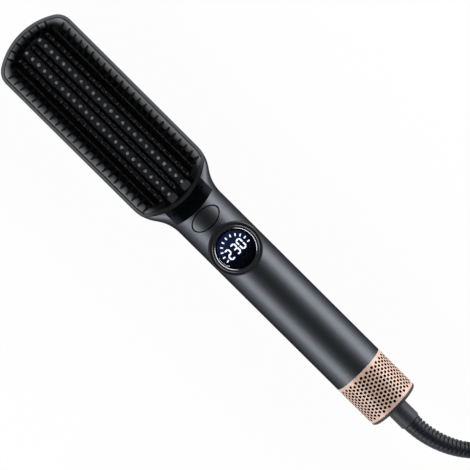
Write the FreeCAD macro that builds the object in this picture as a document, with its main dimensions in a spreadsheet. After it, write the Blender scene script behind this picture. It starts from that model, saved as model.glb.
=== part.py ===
import FreeCAD, Part
import math
import os
import Sketcher
from FreeCAD import Placement, Rotation, Vector

# Steam hair straightener brush, lying on its back: +X runs from the head's tip to the cord,
# +Z points out of the bristle side, and the origin is under the middle of the brush.
# Lengths are in millimetres. "From the tip" means along +X from the head's tip.

doc = FreeCAD.newDocument("steam_brush")
sheet = doc.addObject("Spreadsheet::Sheet", "dims")

driving = {
    # whole brush
    "body_length": 301.8,  # head's tip to the face of the tail ring
    "handle_diameter": 33.2,
    "shell_wall": 2.0,
    "fit_gap": 0.3,  # between neighbouring parts
    "running_gap": 0.08,  # radial, where one part turns in another
    "thread_gap": 0.05,  # radial, round a screw in its thread
    "screw_radius": 1.0,
    "screw_head_radius": 1.8,
    "screw_head_height": 1.4,
    # head and neck outline
    "head_length": 132.4,  # head's tip to the end of the comb frame
    "head_width": 51.6,
    "tip_radius": 40.0,
    "corner_radius": 10.0,
    "neck_lead": 16.7,  # how far before the comb frame's end the neck starts
    "neck_length": 28.0,
    "belly_depth": 0.6,  # how far the back's curve would pass the resting plane
    # comb frame
    "rim_height": 5.6,  # above the handle's axis
    "rim_width": 1.7,
    "tray_inset": 7.0,
    "tray_end_inset": 2.6,
    "tray_tip_inset": 5.2,  # of the tray's floor, at the head's tip
    "tray_neck_radius": 16.6,  # of the tray's floor, where the head narrows
    "lip_inset": 3.6,
    "step_inset": 2.6,  # of the step between rim and lip
    "step_depth": 2.6,
    "floor_depth": 4.6,  # below the handle's axis
    "floor_thickness": 1.5,
    "frame_end_radius": 36.0,
    "boss_radius": 2.6,
    "boss_length": 1.5,
    "post_offset": 13.5,
    "post_front": 24.0,
    "post_back_inset": 25.5,
    "post_seat": 1.0,  # under the screw heads, inside the shell wall
    # bristles
    "row_pins": 25,
    "pins_start": 11.8,
    "pins_end_inset": 9.7,
    "pin_height": 19.5,
    "pin_base_radius": 1.1,
    "pin_end_radius": 0.6,
    "rod_radius": 1.4,
    "rod_overhang": 1.6,
    "inner_row_offset": 10.75,
    "outer_row_inset": 9.4,
    "outer_row_lean": 17.0,
    "tip_pins": 7,
    "tip_row_lean": 12.0,
    "tip_rod_radius": 1.0,
    "tip_row_inset": 6.5,
    "tip_pin_angle": 7.8,
    # heating plate
    "plate_start": 8.8,
    "plate_end_inset": 3.4,
    "plate_half_width": 9.4,
    "plate_thickness": 1.2,
    "ridge_offset": 5.25,
    "ridge_width": 5.3,
    "ridge_height": 2.0,  # above the floor of the comb frame
    "tooth_radius": 1.25,
    "tooth_end_radius": 1.1,
    "tooth_height": 3.6,
    "tooth_root": 0.5,
    "teeth_start": 10.1,
    "teeth_end_inset": 8.6,
    "row_teeth": 25,
    # heater stack under the plate
    "heater_thickness": 2.4,
    "heater_half_width": 7.0,
    "heater_start": 20.0,
    "heater_end_inset": 14.5,
    "heater_gap": 6.0,
    "sensor_half_width": 2.0,
    "sensor_gap": 1.0,
    "film_thickness": 0.3,
    "clamp_thickness": 1.0,
    "stack_overhang": 2.0,
    # steam outlet
    "outlet_half_width": 14.2,
    "outlet_reach": 9.0,  # from the comb frame's end to the edge in the casing
    "outlet_foot": 2.9,  # above the handle's axis
    "outlet_slope": 0.68,  # radius gained by the sloping face for each unit of height
    "outlet_thickness": 1.0,
    "outlet_hole_radius": 0.9,
    "outlet_hole_pitch": 5.6,
    "outlet_hole_rise": 10.2,  # above the handle's axis
    # steam chamber and manifold
    "chamber_gap": 6.0,
    "chamber_length": 13.5,
    "chamber_half_width": 9.5,
    "chamber_bottom": 6.0,
    "chamber_rise": 3.4,  # above the handle's axis
    "chamber_wall": 1.5,
    "manifold_length": 9.0,
    "manifold_half_width": 11.0,
    "manifold_height": 4.4,
    "manifold_wall": 0.9,
    "gasket_thickness": 0.8,
    "steam_way_length": 1.4,
    "steam_way_half_width": 7.0,
    # power button
    "button_from_frame": 15.6,
    "button_length": 11.0,
    "button_width": 18.8,
    "button_gap": 0.35,
    "button_travel": 0.8,
    "button_height": 4.8,
    "tab_length": 1.2,
    "tab_half_width": 3.5,
    "tab_thickness": 1.4,
    "switch_half_width": 2.2,
    "switch_height": 0.8,
    "switch_key_radius": 1.2,
    "switch_play": 0.2,
    "dome_radius": 4.2,
    "dome_wall": 0.8,
    # display and dial
    "dial_from_button": 23.85,
    "seat_diameter": 30.8,
    "seat_rise": 1.6,  # this and the next rises are above the top of the handle
    "seat_depth": 13.8,
    "seat_chamfer": 0.4,
    "dial_diameter": 27.0,
    "dial_rise": 4.2,
    "display_diameter": 23.7,
    "display_rise": 3.2,
    "display_thickness": 1.4,
    "housing_wall": 1.2,
    "seat_floor_drop": 4.2,  # below the top of the handle
    "seat_floor_thickness": 1.2,
    "seat_window_radius": 8.6,
    "magnet_height": 1.1,
    "module_half_width": 7.0,
    "module_leg_half_width": 5.5,
    # boards
    "board_thickness": 1.2,
    "control_board_drop": 8.2,  # below the top of the handle
    "control_board_lead": 10.5,  # after the comb frame's end
    "control_board_tail": 21.0,  # after the dial's centre
    "main_board_drop": 11.2,
    "board_gap": 8.0,
    "board_screw_inset": 2.8,
    "control_screw_offset": 5.5,
    "main_screw_offset": 9.0,
    "control_boss_length": 3.1,
    "main_boss_length": 4.1,
    # water system
    "tank_drop": 1.6,  # its top, below the handle's axis
    "tank_wall": 1.2,
    "tank_end_gap": 4.0,
    "filler_inset": 13.0,
    "filler_radius": 3.3,
    "filler_length": 4.0,
    "filler_cap_radius": 5.0,
    "filler_cap_height": 1.1,
    "pump_gap": 9.0,
    "pump_length": 26.0,
    "pump_radius": 6.0,
    "nozzle_length": 2.0,
    "nozzle_radius": 1.0,
    "tube_radius": 1.6,
    # tail
    "sleeve_length": 27.9,
    "sleeve_thickness": 0.8,
    "tail_ring_thickness": 2.0,
    "tail_ring_edge": 0.7,
    "tail_ring_chamfer": 1.4,
    "spigot_length": 3.0,
    "core_overlap": 9.0,
    "core_wall": 2.0,
    "core_gap": 1.0,
    # cord swivel
    "collar_radius": 6.45,
    "collar_reach": 13.4,
    "collar_bore": 3.4,
    "collar_chamfer": 0.5,
    "flange_radius": 9.0,
    "flange_thickness": 2.4,
    "slip_ring_thickness": 0.8,
    "slip_ring_width": 1.4,
    "outer_slip_inset": 1.3,
    "inner_slip_inset": 3.9,
    "carrier_thickness": 4.0,
    "finger_length": 2.0,
    "finger_radius": 0.5,
    # wires
    "mains_wire_radius": 1.0,
    "mains_wire_offset": 6.0,
    "heater_wire_radius": 0.9,
    "heater_wire_offset": 11.0,
    "heater_wire_end_offset": 5.0,
    # cord
    "cord_diameter": 6.4,
    "relief_start_radius": 5.8,
    "relief_end_radius": 4.7,
    "relief_bend_radius": 60.0,
    "relief_bend_angle": 40.0,
    "relief_droop_angle": 18.0,
    "hank_length": 144.0,
    "hank_width": 60.8,
    "hank_height": 19.6,
    "hank_corner": 20.0,
    "tie_width": 14.0,
    "tie_thickness": 1.6,
    # mains plug
    "plug_length": 37.0,
    "plug_width": 35.3,
    "plug_neck_length": 12.0,
    "plug_neck_width": 14.0,
    "plug_shoulder": 22.0,
    "plug_thickness": 13.7,
    "plug_boot_length": 10.0,
    "plug_boot_radius": 5.0,
    "plug_offset": 18.0,  # across the hank that it lies on
    "plug_pin_radius": 2.0,
    "plug_pin_length": 19.0,
    "plug_pin_spacing": 18.6,
}
for row, (alias, size) in enumerate(driving.items(), 1):
    sheet.set(f"A{row}", alias)
    sheet.set(f"B{row}", str(size))
    sheet.setAlias(f"B{row}", alias)
doc.recompute()

made_nodes = []


def value(expression):
    """The number that an expression on the sheet gives now."""
    return float(sheet.evalExpression(str(expression)))


def node(made, label):
    """Keep an object as a sub-part under its own name."""
    made.Label = label
    made_nodes.append(made)
    return made


# ---------------------------------------------------------------- shared places

TIP = "(-(dims.body_length + dims.collar_reach) / 2)"
AXIS = "(dims.handle_diameter / 2)"
BORE = f"({AXIS} - dims.shell_wall)"  # inside radius of the handle
SEATED = f"({BORE} - dims.fit_gap)"  # radius of what lies against the handle's inside
NECK_START = "(dims.head_length - dims.neck_lead)"
NECK_END = f"({NECK_START} + dims.neck_length)"
NECK_DROP = f"(dims.head_width / 2 - {AXIS})"
NECK_RADIUS = f"((dims.neck_length ^ 2 + {NECK_DROP} ^ 2) / (4 * {NECK_DROP}))"  # two equal arcs
BUTTON_PLACE = "(dims.head_length + dims.button_from_frame)"
DIAL_PLACE = f"({BUTTON_PLACE} + dims.dial_from_button)"
RING_FACE = "(dims.body_length - dims.tail_ring_thickness)"
SLEEVE_START = f"({RING_FACE} - dims.sleeve_length)"
CORE_START = f"({SLEEVE_START} - dims.core_overlap)"
CONTROL_START = "(dims.head_length + dims.control_board_lead)"
CONTROL_END = f"({DIAL_PLACE} + dims.control_board_tail)"
MAIN_START = f"({CONTROL_END} + dims.board_gap)"
MAIN_END = f"({CORE_START} - dims.core_gap)"
TANK_END = f"({MAIN_END} - dims.tank_end_gap)"
FLOOR_TOP = f"({AXIS} - dims.floor_depth)"
RIDGE_TOP = f"({FLOOR_TOP} + dims.ridge_height)"
CONTROL_BOTTOM = "(dims.handle_diameter - dims.control_board_drop)"
MAIN_BOTTOM = "(dims.handle_diameter - dims.main_board_drop)"
BUTTON_BOTTOM = "(dims.handle_diameter - dims.button_height)"


def along(distance):
    """A distance from the tip, as a place on X."""
    return f"({TIP} + {distance})"


def chord(height, inside=SEATED):
    """Half the width of the handle's inside at a height."""
    return f"sqrt({inside} ^ 2 - ({height} - {AXIS}) ^ 2)"


def place(made, x="0", y="0", z="0"):
    for letter, expression in zip("xyz", (x, y, z)):
        made.setExpression(f"Placement.Base.{letter}", expression)
    return made


def box(name, x, y, z):
    """A box between pairs of places."""
    made = doc.addObject("Part::Box", name)
    for size, (low, high) in zip(("Length", "Width", "Height"), (x, y, z)):
        made.setExpression(size, f"({high}) - ({low})")
    return place(made, x[0], y[0], z[0])


def middle_box(name, x, half_width, z):
    """A box that is centred across the brush."""
    return box(name, x, (f"-({half_width})", f"{half_width}"), z)


TURNS = {"x": Rotation(Vector(0, 1, 0), 90), "y": Rotation(Vector(1, 0, 0), -90), "z": Rotation()}


def rod(name, direction, span, radius, x="0", y="0", z="0"):
    """A cylinder that starts and ends at a pair of places along one direction."""
    made = doc.addObject("Part::Cylinder", name)
    made.Placement.Rotation = TURNS[direction]
    made.setExpression("Radius", radius)
    made.setExpression("Height", f"({span[1]}) - ({span[0]})")
    centre = {"x": x, "y": y, "z": z}
    centre[direction] = span[0]
    return place(made, **centre)


def fuse(name, parts):
    made = doc.addObject("Part::MultiFuse", name)
    made.Shapes = parts
    return made


def common(name, parts):
    made = doc.addObject("Part::MultiCommon", name)
    made.Shapes = parts
    return made


def cut(name, base, tools):
    made = doc.addObject("Part::Cut", name)
    made.Base = base
    made.Tool = tools[0] if len(tools) == 1 else fuse(f"{name}_tools", tools)
    return made


def group(name, parts):
    """Separate solids kept together as one sub-part."""
    made = doc.addObject("Part::Compound", name)
    made.Links = parts
    return made


def role(body, wanted):
    return next(f for f in body.Origin.OriginFeatures if f.Role == wanted)


def sketch_on(body, name, plane, height=None):
    """A sketch on one of its body's own planes, raised by an expression."""
    sketch = body.newObject("Sketcher::SketchObject", name)
    sketch.AttachmentSupport = [(role(body, plane), "")]
    sketch.MapMode = "FlatFace"
    if height:
        sketch.setExpression("AttachmentOffset.Base.z", height)
    return sketch


def dimension(sketch, name, constraint, expression):
    """A named dimension of a sketch, bound to the sheet."""
    sketch.renameConstraint(sketch.addConstraint(constraint), name)
    sketch.setExpression(f"Constraints.{name}", expression)


def polygon(sketch, corners):
    """A closed outline whose corners are pairs of expressions."""
    places = [Vector(value(a), value(b), 0) for a, b in corners]
    count = len(places)
    for i in range(count):
        sketch.addGeometry(Part.LineSegment(places[i], places[(i + 1) % count]), False)
    for i in range(count):
        sketch.addConstraint(Sketcher.Constraint("Coincident", i, 2, (i + 1) % count, 1))
    for i, (a, b) in enumerate(corners):
        first = Sketcher.Constraint("DistanceX", -1, 1, i, 1, places[i].x)
        second = Sketcher.Constraint("DistanceY", -1, 1, i, 1, places[i].y)
        dimension(sketch, f"across_{i}", first, a)
        dimension(sketch, f"up_{i}", second, b)


def turned(name, direction, corners, **centre):
    """A turned part: corners are pairs of a place along its axis and a radius."""
    body = doc.addObject("PartDesign::Body", name)
    sketch = sketch_on(body, f"{name}_profile", "XZ_Plane")
    if direction == "x":
        polygon(sketch, corners)
    else:
        polygon(sketch, [(radius, height) for height, radius in corners])
    spin = body.newObject("PartDesign::Revolution", f"{name}_turn")
    spin.Profile = sketch
    spin.ReferenceAxis = (sketch, ["H_Axis" if direction == "x" else "V_Axis"])
    spin.Angle = 360
    return place(body, **centre)


# ---------------------------------------------------------------- outline of the body

def outline_sizes():
    """The plan outline's arcs: where their centres lie and how they meet."""
    half_head = value("dims.head_width / 2")
    half_handle = value(AXIS)
    tip, corner = value("dims.tip_radius"), value("dims.corner_radius")
    corner_y = half_head - corner
    corner_x = tip - math.sqrt((tip - corner) ** 2 - corner_y ** 2)
    neck = value(NECK_RADIUS)
    return {
        "tip": tip,
        "corner": corner,
        "corner_x": corner_x,
        "corner_y": corner_y,
        "half_head": half_head,
        "half_handle": half_handle,
        "swing": math.asin(value("dims.neck_length") / (2 * neck)),
        "neck": neck,
        "neck_start": value(NECK_START),
        "neck_end": value(NECK_END),
    }


def half_width(x, inset):
    """Half the body's width at a distance from the tip, for an outline moved inwards."""
    o = outline_sizes()
    tip, corner = o["tip"] - inset, o["corner"] - inset
    meeting = o["tip"] + (o["corner_x"] - o["tip"]) * tip / (o["tip"] - o["corner"])
    if x <= meeting:
        return math.sqrt(max(tip ** 2 - (o["tip"] - x) ** 2, 0.0))
    if x <= o["corner_x"]:
        return o["corner_y"] + math.sqrt(max(corner ** 2 - (o["corner_x"] - x) ** 2, 0.0))
    if x <= o["neck_start"]:
        return o["half_head"] - inset
    if x >= o["neck_end"]:
        return o["half_handle"] - inset
    first, second = o["neck"] - inset, o["neck"] + inset
    if x - o["neck_start"] <= first * math.sin(o["swing"]):
        return o["half_head"] - o["neck"] + math.sqrt(first ** 2 - (x - o["neck_start"]) ** 2)
    return o["half_handle"] + o["neck"] - math.sqrt(second ** 2 - (o["neck_end"] - x) ** 2)


HEAD_ROUNDNESS_DOWN = 3.0  # superellipse powers: 2 is round, more is boxier
HEAD_ROUNDNESS_UP = 3.5


def section(x, inset, length_axis):
    """A closed section across the body: a superellipse half above and one below the axis."""
    axis = value(AXIS)
    nose = 1.0 if x >= axis else math.sqrt(max(1 - ((axis - x) / (axis - inset)) ** 2, 0.0))
    turn = min(max((x - value(NECK_START)) / value("dims.neck_length"), 0), 1)
    blend = (1 - math.cos(math.pi * turn)) / 2
    head_down = axis + value("dims.belly_depth")
    down = (head_down + (axis - head_down) * blend - inset) * nose
    rim = value("dims.rim_height")
    up = (rim + (axis - rim) * blend - inset) * (0.4 + 0.6 * nose)
    across = half_width(x, inset)
    halves = []
    for sign, height, head_power in ((1, up, HEAD_ROUNDNESS_UP), (-1, down, HEAD_ROUNDNESS_DOWN)):
        power = head_power + (2 - head_power) * blend
        points = []
        for step in range(1, 16):
            angle = math.pi * step / 16
            y = across * math.copysign(abs(math.cos(angle)) ** (2 / power), math.cos(angle))
            z = axis + sign * height * abs(math.sin(angle)) ** (2 / power)
            points.append(Vector(length_axis + x, y, z))
        points.insert(0, Vector(length_axis + x, across, axis))
        points.append(Vector(length_axis + x, -across, axis))
        curve = Part.BSplineCurve()
        curve.interpolate(points if sign == 1 else points[::-1])
        halves.append(curve.toShape())
    return Part.Wire(halves)


def body_form(name, inset, tail):
    """The solid form of head, neck and handle, moved inwards by inset."""
    tip = value(TIP)
    axis = value(AXIS)
    start, finish = value(NECK_START), value(NECK_END)
    nose = [inset + (axis - inset) * (1 - math.cos(math.pi / 2 * k / 12)) for k in range(13)]
    nose[0] = inset + 0.1
    neck = [start + (finish - start) * k / 8 for k in range(9)]
    faces = []
    for zone, straight in ((nose, True), ([axis, start], True), (neck, False), ([finish, tail], True)):
        sections = [section(x, inset, tip) for x in zone]
        faces += Part.makeLoft(sections, False, straight).Faces
    faces += [Part.Face(section(x, inset, tip)) for x in (nose[0], tail)]
    shell = Part.makeShell(faces)
    shell.sewShape()
    made = doc.addObject("Part::Feature", name)
    made.Shape = Part.Solid(shell)
    return made


wall = value("dims.shell_wall")
outer_form = body_form("outer_form", 0.0, value(SLEEVE_START))
inner_form = body_form("inner_form", wall, value(SLEEVE_START) + wall)
casing = cut("casing", outer_form, [inner_form])

WIDE = "dims.head_width"  # further out than anything across the brush
TOP = f"({AXIS} * 2 + 2)"  # higher than the handle
FLOOR_BOTTOM = f"({FLOOR_TOP} - dims.floor_thickness)"
BOSS_BOTTOM = f"({FLOOR_BOTTOM} - dims.boss_length)"
PLATE_BOTTOM = f"({FLOOR_BOTTOM} - dims.fit_gap - dims.plate_thickness)"
FRAME_CENTRE = "(dims.head_length - dims.frame_end_radius)"
POSTS = [(x, y) for x in ("dims.post_front", "(dims.head_length - dims.post_back_inset)") for y in ("", "-")]
LOOSE = "dims.screw_radius + dims.fit_gap / 2"  # round a screw that passes through
THREAD = "dims.screw_radius + dims.thread_gap"
SUNK = "dims.screw_head_radius + dims.fit_gap / 2"


def at_posts(name, span, radius):
    """A rod at each of the four screw posts of the head."""
    return [
        rod(f"{name}_{i}", "z", span, radius, x=along(x), y=f"{side}dims.post_offset")
        for i, (x, side) in enumerate(POSTS)
    ]


# ---------------------------------------------------------------- casing

lower_space = middle_box("lower_space", (along(-1), along("dims.body_length")), WIDE, ("0", AXIS))
rear_half = common("rear_half", [casing, lower_space])
post_top = f"({BOSS_BOTTOM} - dims.fit_gap)"
rear_posts = at_posts("rear_post", ("dims.shell_wall * 0.75", post_top), "dims.boss_radius")
screw_seat = "(dims.shell_wall + dims.post_seat)"  # the heads of the head's screws stop here
rear_holes = at_posts("rear_screw_hole", ("-1", TOP), LOOSE)
rear_sinks = at_posts("rear_screw_sink", ("-1", screw_seat), SUNK)
filler_x = along(f"({TANK_END} - dims.filler_inset)")
filler_bore = "dims.filler_radius + dims.fit_gap / 3"
filler_hole = rod("filler_hole", "z", ("-1", AXIS), filler_bore, x=filler_x)
filler_sink = rod(
    "filler_sink", "z", ("-1", "dims.filler_cap_height + dims.fit_gap / 2"),
    "dims.filler_cap_radius + dims.fit_gap / 2", x=filler_x,
)
tail_screw_x = along(f"({SLEEVE_START} - dims.core_overlap / 2)")
tail_head_top = "(dims.screw_head_height + dims.fit_gap / 2)"
tail_hole = rod("tail_hole", "z", ("-1", AXIS), LOOSE, x=tail_screw_x)
tail_sink = rod("tail_sink", "z", ("-1", tail_head_top), SUNK, x=tail_screw_x)
rear_body = fuse("rear_body", [rear_half] + rear_posts)
node(
    cut("rear_casing", rear_body, rear_holes + rear_sinks + [filler_hole, filler_sink, tail_hole, tail_sink]),
    "rear_shell",
)

upper_space = middle_box(
    "upper_space", (along(NECK_START), along("dims.body_length")), WIDE, (AXIS, TOP)
)
front_half = common("front_half", [casing, upper_space])


def outlet_cone(name, growth):
    """The sloping cone behind the comb frame, grown outwards."""
    made = doc.addObject("Part::Cone", name)
    low = f"({AXIS} + 2)"
    made.setExpression("Height", f"{TOP} - {low}")
    for end, height in (("Radius1", low), ("Radius2", TOP)):
        rise = f"dims.outlet_slope * ({height} - {AXIS} - dims.rim_height)"
        made.setExpression(end, f"dims.frame_end_radius + {growth} + {rise}")
    return place(made, x=along(FRAME_CENTRE), z=low)


def frame_rod(name, growth, span):
    return rod(name, "z", span, f"dims.frame_end_radius + {growth}", x=along(FRAME_CENTRE))


outlet_strip = middle_box(
    "outlet_strip", (along(NECK_START), along(NECK_END)),
    "(dims.outlet_half_width + dims.fit_gap / 2)", (AXIS, TOP),
)
outlet_gap = frame_rod("outlet_gap", "dims.outlet_reach + dims.fit_gap / 2", (AXIS, TOP))
outlet_opening = common("outlet_opening", [outlet_gap, outlet_strip])


def button_form(name, growth, span):
    """The power button's oval, as a post between two heights."""
    oval = doc.addObject("Part::Ellipse", f"{name}_oval")
    oval.Placement.Rotation = Rotation(Vector(0, 0, 1), 90)
    oval.setExpression("MajorRadius", f"dims.button_width / 2 + {growth}")
    oval.setExpression("MinorRadius", f"dims.button_length / 2 + {growth}")
    place(oval, x=along(BUTTON_PLACE), z=span[0])
    made = doc.addObject("Part::Extrusion", name)
    made.Base = oval
    made.DirMode = "Custom"
    made.Dir = Vector(0, 0, 1)
    made.Solid = True
    made.setExpression("LengthFwd", f"({span[1]}) - ({span[0]})")
    return made


dial_x = along(DIAL_PLACE)
SEAT_RADIUS = "(dims.seat_diameter / 2)"
SEAT_TOP = "(dims.handle_diameter + dims.seat_rise)"
SEAT_LEDGE = f"({SEAT_TOP} - dims.seat_depth)"
dial_hole = rod("dial_hole", "z", (f"{SEAT_LEDGE} - dims.fit_gap / 2", TOP),
                f"{SEAT_RADIUS} + dims.fit_gap / 2", x=dial_x)
CONTROL_TOP = f"({CONTROL_BOTTOM} + dims.board_thickness)"
MAIN_TOP = f"({MAIN_BOTTOM} + dims.board_thickness)"
BOARD_SCREWS = [  # along the brush, across it, board's underside and boss length
    (f"({CONTROL_END} - dims.board_screw_inset)", "dims.control_screw_offset", CONTROL_BOTTOM,
     "dims.control_boss_length"),
    (f"({MAIN_START} + dims.board_screw_inset)", "dims.main_screw_offset", MAIN_BOTTOM,
     "dims.main_boss_length"),
    (f"({MAIN_END} - dims.board_screw_inset)", "dims.main_screw_offset", MAIN_BOTTOM,
     "dims.main_boss_length"),
]


def at_board_screws(name, radius, low, high, boss_share=1):
    """A rod at each screw of the two boards, between two heights above the board's underside.

    The upper one also rises by a share of the boss's length.
    """
    return [
        rod(f"{name}_{i}_{k}", "z", (f"{base} + {low}", f"{base} + {high} + {boss_share} * {boss}"), radius,
            x=along(x), y=f"{side}{y}")
        for i, (x, y, base, boss) in enumerate(BOARD_SCREWS)
        for k, side in enumerate(("", "-"))
    ]


front_bosses = at_board_screws("front_boss", "2 * dims.screw_radius", "dims.board_thickness",
                               "dims.board_thickness + dims.shell_wall / 2")
front_threads = at_board_screws("front_thread", THREAD, "0", "dims.board_thickness")
front_cut = cut(
    "front_cut", front_half,
    [frame_rod("frame_gap", "dims.fit_gap / 2", (f"{AXIS} - 1", TOP)), outlet_opening,
     button_form("button_hole", "dims.button_gap", (AXIS, TOP)), dial_hole],
)
node(cut("front_casing", fuse("front_body", [front_cut] + front_bosses), front_threads), "front_shell")


# ---------------------------------------------------------------- comb frame

def outline(body, name, height, inset, end_inset, tip_inset="{inset}", neck=f"{NECK_RADIUS} - {{inset}}"):
    """A sketch of the head's plan outline, closed towards the neck by the frame's end arc."""
    neck = neck.format(inset=inset)
    tip_inset = tip_inset.format(inset=inset)
    o = outline_sizes()
    tip_radius = o["tip"] - value(tip_inset)
    corner_radius = o["corner"] - value(inset)
    corner_x = o["tip"] - math.sqrt((tip_radius - corner_radius) ** 2 - o["corner_y"] ** 2)
    i, e = value(inset), value(end_inset)
    side = o["half_head"] - i
    end_x, end_radius = value(FRAME_CENTRE), value("dims.frame_end_radius") - e
    neck_radius = value(neck)
    neck_y = side - neck_radius
    gap = math.hypot(end_x - o["neck_start"], neck_y)
    cosine = (gap ** 2 + neck_radius ** 2 - end_radius ** 2) / (2 * gap * neck_radius)
    facing = math.atan2(-neck_y, end_x - o["neck_start"])
    meeting = facing - math.acos(max(min(cosine, 1), -1))
    if math.sin(meeting) < 0:
        meeting = facing + math.acos(max(min(cosine, 1), -1))
    meet_x = o["neck_start"] + neck_radius * math.cos(meeting)
    meet_y = neck_y + neck_radius * math.sin(meeting)
    lean = math.atan2(o["corner_y"], o["tip"] - corner_x)
    end_angle = math.atan2(meet_y, meet_x - end_x)
    sketch = sketch_on(body, name, "XY_Plane", height)

    def arc(x, y, radius, start, stop):
        circle = Part.Circle(Vector(x, y, 0), Vector(0, 0, 1), radius)
        sketch.addGeometry(Part.ArcOfCircle(circle, start, stop), False)

    def line(x0, y0, x1, y1):
        sketch.addGeometry(Part.LineSegment(Vector(x0, y0, 0), Vector(x1, y1, 0)), False)

    arc(o["tip"], 0, tip_radius, math.pi - lean, math.pi + lean)
    arc(corner_x, -o["corner_y"], corner_radius, math.pi + lean, 1.5 * math.pi)
    line(corner_x, -side, o["neck_start"], -side)
    arc(o["neck_start"], -neck_y, neck_radius, 1.5 * math.pi, 2 * math.pi - meeting)
    arc(end_x, 0, end_radius, -end_angle, end_angle)
    arc(o["neck_start"], neck_y, neck_radius, meeting, math.pi / 2)
    line(o["neck_start"], side, corner_x, side)
    arc(corner_x, o["corner_y"], corner_radius, math.pi / 2, math.pi - lean)
    for first, second in ((0, 1), (1, 2), (2, 3), (5, 6), (6, 7), (7, 0)):
        sketch.addConstraint(Sketcher.Constraint("Tangent", first, 2, second, 1))
    for first, second in ((3, 4), (4, 5)):
        sketch.addConstraint(Sketcher.Constraint("Coincident", first, 2, second, 1))
    for level in (2, 6):
        sketch.addConstraint(Sketcher.Constraint("Horizontal", level))
    for middle in (0, 4):
        sketch.addConstraint(Sketcher.Constraint("PointOnObject", middle, 3, -1))
    radii = {0: f"dims.tip_radius - {tip_inset}", 1: f"dims.corner_radius - {inset}",
             3: neck, 4: f"dims.frame_end_radius - {end_inset}",
             5: neck, 7: f"dims.corner_radius - {inset}"}
    for index, expression in radii.items():
        bound = Sketcher.Constraint("Radius", index, value(expression))
        dimension(sketch, f"radius_{index}", bound, expression)
    centres = {0: "dims.tip_radius", 4: FRAME_CENTRE, 3: NECK_START, 5: NECK_START}
    for index, expression in centres.items():
        bound = Sketcher.Constraint("DistanceX", -1, 1, index, 3, value(expression))
        dimension(sketch, f"centre_{index}", bound, expression)
    for index, sign in ((2, "-"), (6, "")):
        expression = f"{sign}(dims.head_width / 2 - {inset})"
        bound = Sketcher.Constraint("DistanceY", -1, 1, index, 1, value(expression))
        dimension(sketch, f"side_{index}", bound, expression)
    return sketch


def pad(body, name, sketch, height):
    made = body.newObject("PartDesign::Pad", name)
    made.Profile = sketch
    made.setExpression("Length", height)
    return made


frame_body = doc.addObject("PartDesign::Body", "frame_body")
place(frame_body, x=TIP)
pad(frame_body, "frame_rim", outline(frame_body, "rim_outline", AXIS, "0", "0"), "dims.rim_height")
pad(frame_body, "frame_lip",
    outline(frame_body, "lip_outline", FLOOR_BOTTOM, "dims.lip_inset", "dims.fit_gap"),
    f"{AXIS} - {FLOOR_BOTTOM}")
pad(frame_body, "frame_step",
    outline(frame_body, "step_outline", f"{AXIS} - dims.step_depth", "dims.step_inset", "dims.fit_gap"),
    "dims.step_depth")
doc.recompute()
tray = frame_body.newObject("PartDesign::SubtractiveLoft", "frame_tray")
tray.Profile = outline(frame_body, "tray_top", f"{AXIS} + dims.rim_height", "dims.rim_width", "dims.rim_width")
tray.Sections = [outline(frame_body, "tray_floor", FLOOR_TOP, "dims.tray_inset", "dims.tray_end_inset",
                         "dims.tray_tip_inset", "dims.tray_neck_radius")]
tray.Ruled = True

frame_bosses = at_posts("frame_boss", (BOSS_BOTTOM, f"{FLOOR_BOTTOM} + dims.floor_thickness / 2"),
                        "dims.boss_radius")
frame_threads = at_posts("frame_thread", ("0", f"{FLOOR_BOTTOM} + dims.floor_thickness * 0.6"), THREAD)
plate_end = "(dims.head_length - dims.plate_end_inset)"
ridge_slots = [
    box(f"ridge_slot_{i}", (along("dims.plate_start - dims.fit_gap"), along(f"{plate_end} + dims.fit_gap")),
        (f"{side}dims.ridge_offset - dims.ridge_width / 2 - dims.fit_gap",
         f"{side}dims.ridge_offset + dims.ridge_width / 2 + dims.fit_gap"),
        (f"{FLOOR_BOTTOM} - 1", RIDGE_TOP))
    for i, side in enumerate(("", "-"))
]
node(
    cut("comb_frame_cut", fuse("comb_frame_body", [frame_body] + frame_bosses), frame_threads + ridge_slots),
    "comb_frame",
)


# ---------------------------------------------------------------- bristles

def stub(body, name, base_radius, end_radius, sink, height):
    """A round stub with a domed end, standing on its body's origin and sunk below it."""
    base, end, low, high = value(base_radius), value(end_radius), -value(sink), value(height)
    sketch = sketch_on(body, f"{name}_profile", "XZ_Plane")
    sketch.addGeometry(Part.LineSegment(Vector(0, low, 0), Vector(base, low, 0)), False)
    sketch.addGeometry(Part.LineSegment(Vector(base, low, 0), Vector(end, high - end, 0)), False)
    dome = Part.Circle(Vector(0, high - end, 0), Vector(0, 0, 1), end)
    sketch.addGeometry(Part.ArcOfCircle(dome, 0, math.pi / 2), False)
    sketch.addGeometry(Part.LineSegment(Vector(0, high, 0), Vector(0, low, 0)), False)
    for first, second in ((0, 1), (1, 2), (2, 3), (3, 0)):
        sketch.addConstraint(Sketcher.Constraint("Coincident", first, 2, second, 1))
    sketch.addConstraint(Sketcher.Constraint("PointOnObject", 3, 1, -2))
    sketch.addConstraint(Sketcher.Constraint("PointOnObject", 3, 2, -2))
    sketch.addConstraint(Sketcher.Constraint("PointOnObject", 2, 3, -2))
    sketch.addConstraint(Sketcher.Constraint("Horizontal", 0))
    sketch.addConstraint(Sketcher.Constraint("Horizontal", 2, 3, 2, 1))
    dimension(sketch, "sink", Sketcher.Constraint("DistanceY", -1, 1, 0, 1, low), f"-({sink})")
    dimension(sketch, "base", Sketcher.Constraint("DistanceX", -1, 1, 0, 2, base), base_radius)
    dimension(sketch, "end", Sketcher.Constraint("Radius", 2, end), end_radius)
    dimension(sketch, "rise", Sketcher.Constraint("DistanceY", -1, 1, 2, 3, high - end),
              f"{height} - {end_radius}")
    made = body.newObject("PartDesign::Revolution", name)
    made.Profile = sketch
    made.ReferenceAxis = (sketch, ["V_Axis"])
    made.Angle = 360
    return made


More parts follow.
